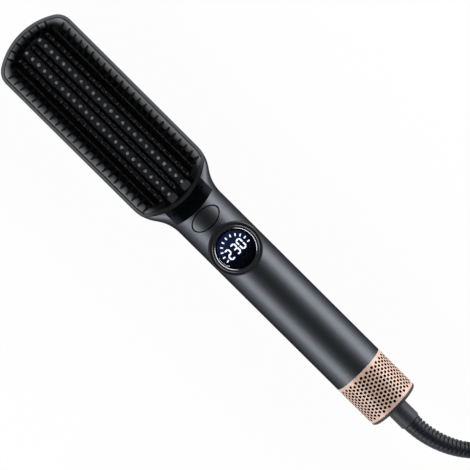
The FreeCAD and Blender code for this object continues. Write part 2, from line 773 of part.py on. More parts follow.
def repeated(body, name, original, count, pitch):
    """Copies of a feature along X."""
    made = body.newObject("PartDesign::LinearPattern", name)
    made.Originals = [original]
    made.Direction = (role(body, "X_Axis"), [""])
    made.setExpression("Occurrences", count)
    made.setExpression("Length", f"({count} - 1) * {pitch}")
    body.Tip = made
    return made


def circle_sketch(body, name, plane, radius, height=None):
    sketch = sketch_on(body, name, plane, height)
    sketch.addGeometry(Part.Circle(Vector(0, 0, 0), Vector(0, 0, 1), value(radius)), False)
    sketch.addConstraint(Sketcher.Constraint("Coincident", 0, 3, -1, 1))
    dimension(sketch, "radius", Sketcher.Constraint("Radius", 0, value(radius)), radius)
    return sketch


ROD_HEIGHT = f"({FLOOR_TOP} + dims.rod_radius)"
TIP_ROD_HEIGHT = f"({FLOOR_TOP} + dims.tip_rod_radius)"
PIN_PITCH = "((dims.head_length - dims.pins_end_inset - dims.pins_start) / (dims.row_pins - 1))"


def bristle_row(label, start, count, offset, lean):
    """A rod with a row of pins, leaning outwards by an angle."""
    body = doc.addObject("PartDesign::Body", f"{label}_row")
    ends = circle_sketch(body, f"{label}_rod_end", "YZ_Plane", "dims.rod_radius", "-dims.rod_overhang")
    pad(body, f"{label}_rod", ends, f"({count} - 1) * {PIN_PITCH} + 2 * dims.rod_overhang")
    doc.recompute()
    pin = stub(body, f"{label}_pin", "dims.pin_base_radius", "dims.pin_end_radius", "0", "dims.pin_height")
    doc.recompute()
    repeated(body, f"{label}_pins", pin, count, PIN_PITCH)
    if lean:
        body.Placement.Rotation = Rotation(Vector(lean, 0, 0), 1)
        body.setExpression("Placement.Rotation.Angle", "dims.outer_row_lean")
    return node(place(body, along(start), offset, ROD_HEIGHT), label)


bristle_row("bristle_row_middle", "dims.pins_start", "dims.row_pins", "0", 0)
for side, sign in (("left", ""), ("right", "-")):
    bristle_row(f"bristle_row_inner_{side}", "dims.pins_start", "dims.row_pins",
                f"{sign}dims.inner_row_offset", 0)
    bristle_row(f"bristle_row_outer_{side}", f"(dims.pins_start + {PIN_PITCH} / 2)",
                "(dims.row_pins - 1)", f"{sign}(dims.head_width / 2 - dims.outer_row_inset)",
                -1 if sign == "" else 1)

tip_row_radius = value("dims.tip_radius - dims.tip_row_inset")
tip_lean = value("dims.tip_row_lean")
tip_step = value("dims.tip_pin_angle")
tip_count = int(value("dims.tip_pins"))
tip_reach = tip_step * (tip_count - 1) / 2 + math.degrees(value("dims.rod_overhang") / tip_row_radius)
tip_rod = doc.addObject("Part::Torus", "tip_rod")
tip_rod.setExpression("Radius1", "dims.tip_radius - dims.tip_row_inset")
tip_rod.setExpression("Radius2", "dims.tip_rod_radius")
tip_rod.Angle3 = 2 * tip_reach
tip_rod.Placement.Rotation = Rotation(Vector(0, 0, 1), 180 - tip_reach)
place(tip_rod, x=along("dims.tip_radius"), z=TIP_ROD_HEIGHT)
tip_row = [tip_rod]
for k in range(tip_count):
    turn = math.radians(180 + tip_step * (k - (tip_count - 1) / 2))
    lean = Rotation(Vector(-math.sin(turn), math.cos(turn), 0), tip_lean)
    shaft = doc.addObject("Part::Cone", f"tip_pin_{k}")
    shaft.Radius1 = value("dims.pin_base_radius")
    shaft.Radius2 = value("dims.pin_end_radius")
    shaft.Height = value("dims.pin_height - dims.pin_end_radius")
    foot = Vector(value(along("dims.tip_radius")) + tip_row_radius * math.cos(turn),
                  tip_row_radius * math.sin(turn), value(TIP_ROD_HEIGHT))
    shaft.Placement = Placement(foot, lean)
    dome = doc.addObject("Part::Sphere", f"tip_dome_{k}")
    dome.Radius = shaft.Radius2
    dome.Placement.Base = foot + lean.multVec(Vector(0, 0, shaft.Height.Value))
    tip_row += [shaft, dome]
node(fuse("tip_bristles", tip_row), "bristle_row_tip")


# ---------------------------------------------------------------- heating plate and heater

def inner_box(body, name, x, y, z):
    """A box feature inside a body."""
    made = body.newObject("PartDesign::AdditiveBox", name)
    for size, (low, high) in zip(("Length", "Width", "Height"), (x, y, z)):
        made.setExpression(size, f"({high}) - ({low})")
    for letter, (low, high) in zip("xyz", (x, y, z)):
        made.setExpression(f"Placement.Base.{letter}", low)
    return made


plate_body = doc.addObject("PartDesign::Body", "plate_body")
plate_span = ("dims.plate_start - dims.teeth_start", f"{plate_end} - dims.teeth_start")
low = f"{PLATE_BOTTOM} - {RIDGE_TOP}"
inner_box(plate_body, "plate_base", plate_span, ("-dims.plate_half_width", "dims.plate_half_width"),
          (low, f"{low} + dims.plate_thickness"))
for side, sign in (("left", ""), ("right", "-")):
    inner_box(plate_body, f"ridge_{side}", plate_span,
              (f"{sign}dims.ridge_offset - dims.ridge_width / 2",
               f"{sign}dims.ridge_offset + dims.ridge_width / 2"),
              (low, "0"))
doc.recompute()
plate = place(plate_body, x=along("dims.teeth_start"), z=RIDGE_TOP)
teeth_body = doc.addObject("PartDesign::Body", "teeth_body")
tooth = stub(teeth_body, "tooth", "dims.tooth_radius", "dims.tooth_end_radius", "dims.tooth_root",
             "dims.tooth_height")
doc.recompute()
repeated(teeth_body, "teeth", tooth, "dims.row_teeth",
         "((dims.head_length - dims.teeth_end_inset - dims.teeth_start) / (dims.row_teeth - 1))")
place(teeth_body, x=along("dims.teeth_start"), y="dims.ridge_offset", z=RIDGE_TOP)
doc.recompute()
mirrored_teeth = doc.addObject("Part::Mirroring", "mirrored_teeth")
mirrored_teeth.Source = teeth_body
mirrored_teeth.Normal = Vector(0, 1, 0)
node(fuse("heating_plate_body", [plate, teeth_body, mirrored_teeth]), "heating_plate")

heater_tops = (f"{PLATE_BOTTOM} - dims.heater_thickness", PLATE_BOTTOM)
HEATER_END = "(dims.head_length - dims.heater_end_inset)"
HEATER_LENGTH = f"(({HEATER_END} - dims.heater_start - 2 * dims.heater_gap) / 3)"
heaters = []
gaps = []
for k in range(3):
    start = f"dims.heater_start + {k} * ({HEATER_LENGTH} + dims.heater_gap)"
    finish = f"{start} + {HEATER_LENGTH}"
    heater_span = (along(start), along(finish))
    heaters.append(middle_box(f"heater_{k}", heater_span, "dims.heater_half_width", heater_tops))
    gaps.append(finish)
node(group("heaters", heaters), "heater_elements")
for label, finish in (("temperature_sensor", gaps[0]), ("thermal_fuse", gaps[1])):
    sensor_span = (along(f"{finish} + dims.sensor_gap"), along(f"{finish} + dims.heater_gap - dims.sensor_gap"))
    node(middle_box(f"{label}_body", sensor_span, "dims.sensor_half_width", heater_tops), label)
FILM_BOTTOM = f"({heater_tops[0]} - dims.film_thickness)"
CLAMP_BOTTOM = f"({FILM_BOTTOM} - dims.clamp_thickness)"
stack = (along("dims.heater_start - dims.stack_overhang"), along(f"{HEATER_END} + dims.stack_overhang"))
node(middle_box("film", stack, "dims.heater_half_width + 1", (FILM_BOTTOM, heater_tops[0])), "insulating_film")
node(middle_box("clamp", stack, "dims.heater_half_width + 3", (CLAMP_BOTTOM, FILM_BOTTOM)), "clamp_plate")
node(middle_box("pad", stack, "dims.heater_half_width + 2", ("dims.shell_wall + dims.fit_gap", CLAMP_BOTTOM)),
     "heat_shield_pad")


# ---------------------------------------------------------------- steam outlet, chamber and water

panel_space = middle_box(
    "panel_space", (along(NECK_START), along(NECK_END)), "dims.outlet_half_width",
    (f"{AXIS} + dims.outlet_foot", TOP),
)
panel_cone = outlet_cone("panel_cone", "dims.outlet_thickness")
panel_slope = common("panel_slope", [panel_cone, panel_space, outer_form])
panel_arc = frame_rod("panel_arc", "dims.outlet_reach", (AXIS, TOP))
panel_edge = common("panel_edge", [panel_arc, panel_space, casing])
panel_blank = fuse("panel_blank", [panel_slope, panel_edge])
RISE = f"({AXIS} + dims.outlet_hole_rise)"
HOLE_ARC = "(dims.frame_end_radius + dims.outlet_slope * (dims.outlet_hole_rise - dims.rim_height))"
aim = Rotation(Vector(0, 1, 0), -90 + math.degrees(math.atan(value("dims.outlet_slope"))))
back = aim.multVec(Vector(0, 0, 1))


def outlet_hole(k):
    """A drill through the sloping face, from its front to well behind it."""
    y = f"({k - 2} * dims.outlet_hole_pitch)"
    front = "2.5 * dims.outlet_thickness"
    made = doc.addObject("Part::Cylinder", f"outlet_hole_{k}")
    made.Placement.Rotation = aim
    made.setExpression("Radius", "dims.outlet_hole_radius")
    made.setExpression("Height", "4 * dims.outlet_thickness")
    x = along(f"{FRAME_CENTRE} + sqrt({HOLE_ARC} ^ 2 - {y} ^ 2) - ({back.x}) * {front}")
    return place(made, x, y, f"{RISE} - ({back.z}) * {front}")


panel_tools = [outlet_hole(k) for k in range(5)]
panel_tools.append(outlet_cone("panel_face", "0"))
panel_tools.append(frame_rod("panel_gap", "dims.fit_gap / 2", (AXIS, f"{AXIS} + dims.rim_height")))
node(cut("panel", panel_blank, panel_tools), "steam_outlet")

CHAMBER_START = "(dims.head_length + dims.chamber_gap)"
CHAMBER_END = f"({CHAMBER_START} + dims.chamber_length)"
CHAMBER_TOP = f"({AXIS} + dims.chamber_rise)"
CHAMBER_MIDDLE = f"((dims.chamber_bottom + {CHAMBER_TOP}) / 2)"
MANIFOLD_BOTTOM = f"({CHAMBER_TOP} + dims.gasket_thickness)"
MANIFOLD_TOP = f"({MANIFOLD_BOTTOM} + dims.manifold_height)"
chamber_span = (along(CHAMBER_START), along(CHAMBER_END))
manifold_span = (along("dims.head_length"), along("(dims.head_length + dims.manifold_length)"))
steam_way = middle_box(
    "steam_way",
    (f"{chamber_span[0]} + dims.manifold_wall",
     f"{chamber_span[0]} + dims.manifold_wall + dims.steam_way_length"),
    "dims.steam_way_half_width",
    (f"{CHAMBER_TOP} - 2 * dims.chamber_wall", f"{MANIFOLD_BOTTOM} + 2 * dims.chamber_wall"),
)
chamber_room = middle_box(
    "chamber_room", (f"{chamber_span[0]} + dims.chamber_wall", f"{chamber_span[1]} - dims.chamber_wall"),
    "dims.chamber_half_width - dims.chamber_wall",
    ("dims.chamber_bottom + dims.chamber_wall", f"{CHAMBER_TOP} - dims.chamber_wall"),
)
chamber_block = middle_box("chamber_block", chamber_span, "dims.chamber_half_width",
                           ("dims.chamber_bottom", CHAMBER_TOP))
node(cut("chamber", chamber_block, [chamber_room, steam_way]), "steam_chamber")
gasket = middle_box("gasket", (chamber_span[0], manifold_span[1]),
                    "dims.steam_way_half_width + dims.chamber_wall", (CHAMBER_TOP, MANIFOLD_BOTTOM))
node(cut("gasket_cut", gasket, [steam_way]), "steam_gasket")
manifold = middle_box("manifold_block", manifold_span, "dims.manifold_half_width",
                      (MANIFOLD_BOTTOM, MANIFOLD_TOP))
manifold_room = middle_box(
    "manifold_room", (manifold_span[0], f"{manifold_span[1]} - dims.manifold_wall"),
    "dims.manifold_half_width - dims.manifold_wall",
    (f"{MANIFOLD_BOTTOM} + dims.manifold_wall", f"{MANIFOLD_TOP} - dims.manifold_wall"),
)
manifold_face = outlet_cone("manifold_face", "dims.outlet_thickness + dims.fit_gap / 2")
node(cut("manifold", manifold, [manifold_face, manifold_room, steam_way]), "steam_manifold")

PUMP_HEIGHT = f"({AXIS} - {SEATED} + dims.pump_radius)"
PUMP_START = f"({CHAMBER_END} + dims.pump_gap)"
PUMP_END = f"({PUMP_START} + dims.pump_length)"
nozzle_span = (along(f"{PUMP_START} - dims.nozzle_length"), along(f"{PUMP_END} + dims.nozzle_length"))
node(fuse("pump", [
    rod("pump_body", "x", (along(PUMP_START), along(PUMP_END)), "dims.pump_radius", z=PUMP_HEIGHT),
    rod("pump_nozzles", "x", nozzle_span, "dims.nozzle_radius", z=PUMP_HEIGHT),
]), "water_pump")
node(group("tubes", [
    rod("chamber_tube", "x", (along(CHAMBER_END), nozzle_span[0]), "dims.tube_radius", z=PUMP_HEIGHT),
    rod("tank_tube", "x", (nozzle_span[1], along(MAIN_START)), "dims.tube_radius", z=PUMP_HEIGHT),
]), "water_tubes")

TANK_TOP = f"({AXIS} - dims.tank_drop)"
tank_span = (along(MAIN_START), along(TANK_END))
tank_block = common("tank_block", [
    rod("tank_round", "x", tank_span, SEATED, z=AXIS),
    middle_box("tank_space", tank_span, WIDE, ("0", TANK_TOP)),
])
room_span = tuple(f"{end} {sign} dims.tank_wall" for end, sign in zip(tank_span, "+-"))
tank_room = common("tank_room", [
    rod("tank_room_round", "x", room_span, f"{SEATED} - dims.tank_wall", z=AXIS),
    middle_box("tank_room_space", room_span, WIDE, ("0", f"{TANK_TOP} - dims.tank_wall")),
])
tank_mouth = rod("tank_mouth", "z", ("0", f"{TANK_TOP} / 2"), filler_bore, x=filler_x)
node(cut("tank", tank_block, [tank_room, tank_mouth]), "water_tank")
cap = common("filler_cap", [
    rod("filler_cap_round", "z", ("0", "dims.filler_cap_height"), "dims.filler_cap_radius", x=filler_x),
    rod("filler_cap_curve", "x", tank_span, f"{AXIS} - dims.running_gap", z=AXIS),
])
stem_span = ("dims.filler_cap_height / 2", "dims.filler_cap_height / 2 + dims.filler_length")
node(fuse("filler", [cap, rod("filler_stem", "z", stem_span, "dims.filler_radius", x=filler_x)]), "filler_plug")


# ---------------------------------------------------------------- power button

def around(centre, half):
    """A pair of places at equal distances from a centre."""
    return (f"{centre} - {half}", f"{centre} + {half}")


handle_round = rod("handle_round", "x", (along(NECK_START), along(SLEEVE_START)), AXIS, z=AXIS)
button_top = common("button_top", [button_form("button_post", "0", (BUTTON_BOTTOM, TOP)), handle_round])
button_x = along(BUTTON_PLACE)
tab_reach = "(dims.button_length / 2 + dims.tab_length)"
tabs = middle_box("button_tabs", around(button_x, tab_reach), "dims.tab_half_width",
                  (BUTTON_BOTTOM, f"{BUTTON_BOTTOM} + dims.tab_thickness"))
node(fuse("button", [button_top, tabs]), "power_button")
switch_box = middle_box("switch_box", around(button_x, "dims.switch_half_width"), "dims.switch_half_width",
                        (CONTROL_TOP, f"{CONTROL_TOP} + dims.switch_height"))
switch_key = rod("switch_key", "z", (CONTROL_TOP, f"{BUTTON_BOTTOM} - dims.button_travel - dims.switch_play"),
                 "dims.switch_key_radius", x=button_x)
node(fuse("switch", [switch_box, switch_key]), "button_switch")
dome_bore = "(dims.dome_radius - dims.dome_wall)"
node(turned("return_dome", "z", [
    (CONTROL_TOP, dome_bore), (CONTROL_TOP, "dims.dome_radius"), (BUTTON_BOTTOM, "dims.dome_radius"),
    (BUTTON_BOTTOM, dome_bore),
], x=button_x), "button_return_dome")


# ---------------------------------------------------------------- display and dial

DIAL_RADIUS = "(dims.dial_diameter / 2)"
SEAT_BORE = f"({DIAL_RADIUS} + dims.running_gap)"
SEAT_FLOOR_BOTTOM = "(dims.handle_diameter - dims.seat_floor_drop)"
SEAT_FLOOR = f"({SEAT_FLOOR_BOTTOM} + dims.seat_floor_thickness)"
LENS_RADIUS = "(dims.display_diameter / 2)"
LENS_TOP = "(dims.handle_diameter + dims.display_rise)"
LENS_BOTTOM = f"({LENS_TOP} - dims.display_thickness)"
DIAL_TOP = "(dims.handle_diameter + dims.dial_rise)"
DIAL_BORE = f"({LENS_RADIUS} + dims.fit_gap)"
MAGNET_BOTTOM = f"({SEAT_FLOOR} + dims.fit_gap)"
MAGNET_TOP = f"({MAGNET_BOTTOM} + dims.magnet_height)"
EDGE = "dims.seat_chamfer"
seat_cup = turned("seat_cup", "z", [
    (SEAT_FLOOR_BOTTOM, "dims.seat_window_radius"), (SEAT_FLOOR_BOTTOM, SEAT_RADIUS),
    (f"{SEAT_TOP} - {EDGE}", SEAT_RADIUS), (SEAT_TOP, f"{SEAT_RADIUS} - {EDGE}"),
    (SEAT_TOP, SEAT_BORE), (SEAT_FLOOR, SEAT_BORE), (SEAT_FLOOR, "dims.seat_window_radius"),
], x=dial_x)
seat_skirt = turned("seat_skirt", "z", [
    (SEAT_LEDGE, SEAT_BORE), (SEAT_LEDGE, SEAT_RADIUS), (f"{SEAT_TOP} - {EDGE}", SEAT_RADIUS),
    (f"{SEAT_TOP} - {EDGE}", SEAT_BORE),
], x=dial_x)
node(fuse("seat", [seat_cup, cut("seat_skirt_cut", seat_skirt, [inner_form])]), "dial_seat")
node(turned("dial", "z", [
    (MAGNET_TOP, DIAL_BORE), (MAGNET_TOP, DIAL_RADIUS), (f"{DIAL_TOP} - {EDGE}", DIAL_RADIUS),
    (DIAL_TOP, f"{DIAL_RADIUS} - {EDGE}"), (DIAL_TOP, f"{DIAL_BORE} + {EDGE}"),
    (f"{DIAL_TOP} - {EDGE}", DIAL_BORE),
], x=dial_x), "dial_ring")
node(turned("magnet", "z", [
    (MAGNET_BOTTOM, DIAL_BORE), (MAGNET_BOTTOM, DIAL_RADIUS),
    (MAGNET_TOP, DIAL_RADIUS), (MAGNET_TOP, DIAL_BORE),
], x=dial_x), "dial_magnet")
housing_bore = f"({LENS_RADIUS} - dims.housing_wall)"
node(turned("housing", "z", [
    (SEAT_FLOOR, housing_bore), (SEAT_FLOOR, LENS_RADIUS),
    (LENS_BOTTOM, LENS_RADIUS), (LENS_BOTTOM, housing_bore),
], x=dial_x), "display_housing")
node(rod("lens", "z", (LENS_BOTTOM, LENS_TOP), LENS_RADIUS, x=dial_x), "display_lens")
node(fuse("led_unit", [
    middle_box("led_block", around(dial_x, "dims.module_half_width"), "dims.module_half_width",
               (SEAT_FLOOR, f"{LENS_BOTTOM} - dims.fit_gap")),
    middle_box("led_legs", around(dial_x, "dims.module_leg_half_width"), "dims.module_leg_half_width",
               (CONTROL_TOP, SEAT_FLOOR)),
]), "display_module")


# ---------------------------------------------------------------- boards and wires

board_holes = at_board_screws("board_hole", LOOSE, "-1", "dims.board_thickness + 1", 0)


def board(name, label, start, finish, bottom, top, holes):
    """A circuit board as wide as the handle's inside lets it be."""
    blank = middle_box(f"{name}_blank", (along(start), along(finish)), chord(top), (bottom, top))
    return node(cut(name, blank, holes), label)


board("control_plate", "control_board", CONTROL_START, CONTROL_END, CONTROL_BOTTOM, CONTROL_TOP,
      board_holes[:2])
board("main_plate", "main_board", MAIN_START, MAIN_END, MAIN_BOTTOM, MAIN_TOP, board_holes[2:])


def board_place(share):
    """A place along the main board, as a share of its length."""
    return along(f"({MAIN_START} + {share} * ({MAIN_END} - {MAIN_START}))")


node(group("board_parts", [
    box("relay", (board_place(0.13), board_place(0.4)), ("-6.5", "3.5"), (MAIN_TOP, f"{MAIN_TOP} + 5")),
    rod("capacitor", "x", (board_place(0.47), board_place(0.73)), "3.2", z=f"{MAIN_TOP} + 3.2"),
    middle_box("choke", (board_place(0.78), board_place(0.9)), "5", (MAIN_TOP, f"{MAIN_TOP} + 4.6")),
]), "power_components")


def screw(name, seat, tip, **centre):
    """A screw from below: its head ends at its seat, and its shaft runs up to its tip."""
    head_span = (f"{seat} - dims.screw_head_height", seat)
    return fuse(name, [
        rod(f"{name}_head", "z", head_span, "dims.screw_head_radius", **centre),
        rod(f"{name}_shaft", "z", (f"{seat} - dims.screw_head_height / 2", tip), "dims.screw_radius", **centre),
    ])


head_screw_tip = f"{FLOOR_BOTTOM} + dims.floor_thickness * 0.4"
tail_screw_tip = "dims.shell_wall + dims.fit_gap + dims.core_wall * 0.9"
casing_screws = [
    screw(f"head_screw_{k}", screw_seat, head_screw_tip, x=along(x), y=f"{side}dims.post_offset")
    for k, (x, side) in enumerate(POSTS)
]
casing_screws.append(screw("tail_screw", tail_head_top, tail_screw_tip, x=tail_screw_x))
node(group("casing_screw_set", casing_screws), "casing_screws")
node(group("board_screw_set", [
    screw(f"board_screw_{i}_{k}", base, f"{base} + dims.board_thickness + 0.9 * {boss}",
          x=along(x), y=f"{side}{y}")
    for i, (x, y, base, boss) in enumerate(BOARD_SCREWS)
    for k, side in enumerate(("", "-"))
]), "board_screws")


def route(points):
    """A wire of straight runs joined by tangent arcs, and the arcs' radii."""
    edges = []
    radii = []
    start = points[0]
    for before, corner, after in zip(points, points[1:], points[2:]):
        into, out = corner - before, after - corner
        half_turn = into.getAngle(out) / 2
        cut_back = 0.45 * min(into.Length, out.Length)
        radii.append(cut_back / math.tan(half_turn))
        into.normalize()
        out.normalize()
        first, last = corner - into * cut_back, corner + out * cut_back
        bisector = (out - into).normalize()
        middle = corner + bisector * (radii[-1] / math.cos(half_turn) - radii[-1])
        edges += [Part.LineSegment(start, first).toShape(), Part.Arc(first, middle, last).toShape()]
        start = last
    edges.append(Part.LineSegment(start, points[-1]).toShape())
    return Part.Wire(edges), radii


def bent_tube(name, points, radius):
    """A round solid along a route."""
    path, radii = route(points)
    ends = Part.Wire([Part.Circle(points[0], points[1] - points[0], radius).toShape()])
    solid = path.makePipeShell([ends], True, True)
    expected = math.pi * radius ** 2 * path.Length
    print(f"{name}: length {path.Length:.1f}, radii {[round(r, 1) for r in radii]},",
          f"volume {solid.Volume:.1f} for {expected:.1f}")
    made = doc.addObject("Part::Feature", name)
    made.Shape = solid
    return made


def spot(distance, y, z):
    return Vector(value(along(distance)), value(y), value(z))


BOARD_MIDDLE = f"({MAIN_BOTTOM} + dims.board_thickness / 2)"
HEATER_MIDDLE = f"({PLATE_BOTTOM} - dims.heater_thickness / 2)"
wire_y, wire_end_y = "dims.heater_wire_offset", "dims.heater_wire_end_offset"
heater_leads = [
    bent_tube(f"heater_lead_{k}", [
        spot(MAIN_START, f"{sign}{wire_y}", BOARD_MIDDLE),
        spot(f"({CONTROL_END} - dims.control_board_tail / 2)", f"{sign}{wire_y}", BOARD_MIDDLE),
        spot(f"({PUMP_START} - dims.pump_gap / 2)", f"{sign}({wire_y} + dims.fit_gap)", CHAMBER_MIDDLE),
        spot(f"({CHAMBER_START} - dims.nozzle_length)", f"{sign}{wire_y}", HEATER_MIDDLE),
        spot(f"({HEATER_END} + dims.chamber_gap)", f"{sign}{wire_end_y}", HEATER_MIDDLE),
        spot(HEATER_END, f"{sign}{wire_end_y}", HEATER_MIDDLE),
    ], value("dims.heater_wire_radius"))
    for k, sign in enumerate(("", "-"))
]
node(group("heater_lead_set", heater_leads), "heater_wires")


# ---------------------------------------------------------------- tail and cord swivel

CORE_BORE = f"({SEATED} - dims.core_wall)"
SPIGOT = f"({CORE_BORE} - dims.fit_gap)"
SPIGOT_FACE = f"({RING_FACE} - dims.spigot_length)"
RING_BORE = "(dims.collar_radius + dims.running_gap)"
FLANGE_FRONT = f"({SPIGOT_FACE} - dims.fit_gap)"
FLANGE_BACK = f"({FLANGE_FRONT} - dims.flange_thickness)"
SLIP_FACE = f"({FLANGE_BACK} - dims.slip_ring_thickness)"
CARRIER_FRONT = f"({SLIP_FACE} - dims.fit_gap - dims.finger_length)"
CARRIER_BACK = f"({CARRIER_FRONT} - dims.carrier_thickness)"
SLEEVE_BORE = f"({AXIS} - dims.sleeve_thickness)"
CORE_RADIUS = f"({SLEEVE_BORE} - dims.fit_gap)"
CORD_END = "(dims.body_length + dims.collar_reach)"

core_turned = turned("core_turned", "x", [
    (CORE_START, CORE_BORE), (CORE_START, SEATED), (f"{SLEEVE_START} + dims.fit_gap", SEATED),
    (f"{SLEEVE_START} + dims.fit_gap", CORE_RADIUS), (RING_FACE, CORE_RADIUS), (RING_FACE, CORE_BORE),
], x=TIP, z=AXIS)
core_thread = rod("core_thread", "z", ("0", AXIS), THREAD, x=tail_screw_x)
node(cut("core", core_turned, [core_thread]), "tail_core")
node(turned("sleeve", "x", [
    (SLEEVE_START, SLEEVE_BORE), (SLEEVE_START, AXIS), (RING_FACE, AXIS), (RING_FACE, SLEEVE_BORE),
], x=TIP, z=AXIS), "perforated_sleeve")
node(turned("ring", "x", [
    (SPIGOT_FACE, RING_BORE), (SPIGOT_FACE, SPIGOT), (RING_FACE, SPIGOT), (RING_FACE, AXIS),
    (f"{RING_FACE} + dims.tail_ring_edge", AXIS), ("dims.body_length", f"{AXIS} - dims.tail_ring_chamfer"),
    ("dims.body_length", RING_BORE),
], x=TIP, z=AXIS), "tail_ring")
node(turned("collar", "x", [
    (FLANGE_BACK, "dims.collar_bore"), (FLANGE_BACK, "dims.flange_radius"),
    (FLANGE_FRONT, "dims.flange_radius"),
    (FLANGE_FRONT, "dims.collar_radius"), (f"{CORD_END} - dims.collar_chamfer", "dims.collar_radius"),
    (CORD_END, "dims.collar_radius - dims.collar_chamfer"), (CORD_END, "dims.collar_bore"),
], x=TIP, z=AXIS), "swivel_collar")
SLIP_RADII = ["(dims.flange_radius - dims.outer_slip_inset)", "(dims.flange_radius - dims.inner_slip_inset)"]
half_ring = "dims.slip_ring_width / 2"
node(group("slip_ring_pair", [
    turned(f"slip_ring_{k}", "x", [
        (SLIP_FACE, f"{middle} - {half_ring}"), (SLIP_FACE, f"{middle} + {half_ring}"),
        (FLANGE_BACK, f"{middle} + {half_ring}"), (FLANGE_BACK, f"{middle} - {half_ring}"),
    ], x=TIP, z=AXIS)
    for k, middle in enumerate(SLIP_RADII)
]), "slip_rings")
node(turned("carrier", "x", [
    (CARRIER_BACK, "dims.collar_bore"), (CARRIER_BACK, SPIGOT), (CARRIER_FRONT, SPIGOT),
    (CARRIER_FRONT, "dims.collar_bore"),
], x=TIP, z=AXIS), "contact_carrier")
finger_span = (along(CARRIER_FRONT), along(f"{CARRIER_FRONT} + dims.finger_length"))
node(group("finger_pair", [
    rod(f"finger_{k}", "x", finger_span, "dims.finger_radius", y=f"{sign}{SLIP_RADII[k]}", z=AXIS)
    for k, sign in enumerate(("", "-"))
]), "contact_fingers")
node(group("mains_lead_pair", [
    rod(f"mains_lead_{k}", "x", (along(MAIN_END), along(CARRIER_BACK)), "dims.mains_wire_radius",
        y=f"{sign}dims.mains_wire_offset", z=BOARD_MIDDLE)
    for k, sign in enumerate(("", "-"))
]), "mains_wires")


# ---------------------------------------------------------------- cord, hank and plug

cord_radius = value("dims.cord_diameter / 2")
droop = math.radians(value("dims.relief_droop_angle"))
bend_radius = value("dims.relief_bend_radius")
bend_to = Vector(0, math.cos(droop), -math.sin(droop))
relief_start = spot(CORD_END, "0", AXIS)


def relief_place(angle):
    """A point on the strain relief's bent middle line, and its direction there."""
    forward = Vector(1, 0, 0)
    ahead, aside = bend_radius * math.sin(angle), bend_radius * (1 - math.cos(angle))
    point = relief_start + forward * ahead + bend_to * aside
    return point, forward * math.cos(angle) + bend_to * math.sin(angle)


relief_bend = math.radians(value("dims.relief_bend_angle"))
relief_rings = []
for k in range(9):
    point, direction = relief_place(relief_bend * k / 8)
    thick, thin = value("dims.relief_start_radius"), value("dims.relief_end_radius")
    relief_rings.append(Part.Wire([Part.Circle(point, direction, thick + (thin - thick) * k / 8).toShape()]))
relief = doc.addObject("Part::Feature", "relief")
relief.Shape = Part.makeLoft(relief_rings, True, False)
node(relief, "strain_relief")

# The free cord goes straight ahead of the strain relief, then down to the resting plane and
# into the hank. Its points are chosen by hand, each as a way on from the relief's end.
CORD_RUN = 14.0
CORD_LIFT = 0.2  # between the cord and the resting plane
cord_start, cord_direction = relief_place(relief_bend)
floor_level = cord_radius + CORD_LIFT - cord_start.z
cord_ways = [
    (25.3, 13.3, floor_level + 1.5),
    (41.2, 12.5, floor_level),
    (55.6, 13.0, floor_level),
    (69.0, 12.2, floor_level),
]
cord_points = [cord_start, cord_start + cord_direction * CORD_RUN]
cord_points += [cord_start + Vector(*way) for way in cord_ways]
free_cord = bent_tube("free_cord", cord_points, cord_radius)

HANK_ENTRY = 16.0  # how far the cord's last point lies past the hank's near end
hank_x = cord_points[-1].x - HANK_ENTRY
hank_y = cord_points[-1].y - value("dims.hank_width / 2 - dims.tie_thickness") + cord_radius


def hank_box(name, x, half, z):
    """A box in the hank's own place: along it from its near face, and across it from its middle."""
    return box(name, (f"{hank_x} + {x[0]}", f"{hank_x} + {x[1]}"),
               (f"{hank_y} - ({half})", f"{hank_y} + ({half})"), z)


half_hank = "dims.hank_width / 2"
hank_rise = ("0", "dims.hank_height")
inner_ends = ("dims.hank_corner", "dims.hank_length - dims.hank_corner")
tie_span = ("dims.hank_length / 2 - dims.tie_width / 2", "dims.hank_length / 2 + dims.tie_width / 2")
inner_half = f"({half_hank} - dims.tie_thickness)"
inner_rise = ("dims.tie_thickness", "dims.hank_height + dims.tie_thickness")
TIE_TOP = "(dims.hank_height + 2 * dims.tie_thickness)"
hank_parts = [
    hank_box("hank_long", ("0", "dims.hank_length"), f"{half_hank} - dims.hank_corner", hank_rise),
    hank_box("hank_wide", inner_ends, half_hank, hank_rise),
    hank_box("hank_in_tie", tie_span, inner_half, inner_rise),
]
for k, end in enumerate(inner_ends):
    for side in "+-":
        corner_y = f"{hank_y} {side} ({half_hank} - dims.hank_corner)"
        hank_parts.append(rod(f"hank_corner_{k}", "z", hank_rise, "dims.hank_corner",
                              x=f"{hank_x} + {end}", y=corner_y))
tie_outer = hank_box("tie_outer", tie_span, half_hank, ("0", TIE_TOP))
tie_inner = hank_box("tie_inner", tie_span, inner_half, inner_rise)
tie = node(cut("tie", tie_outer, [tie_inner]), "cord_tie")
hank = node(cut("hank", fuse("hank_block", hank_parts), [tie]), "cord_hank")
node(cut("cord_to_hank", free_cord, [hank]), "cord")

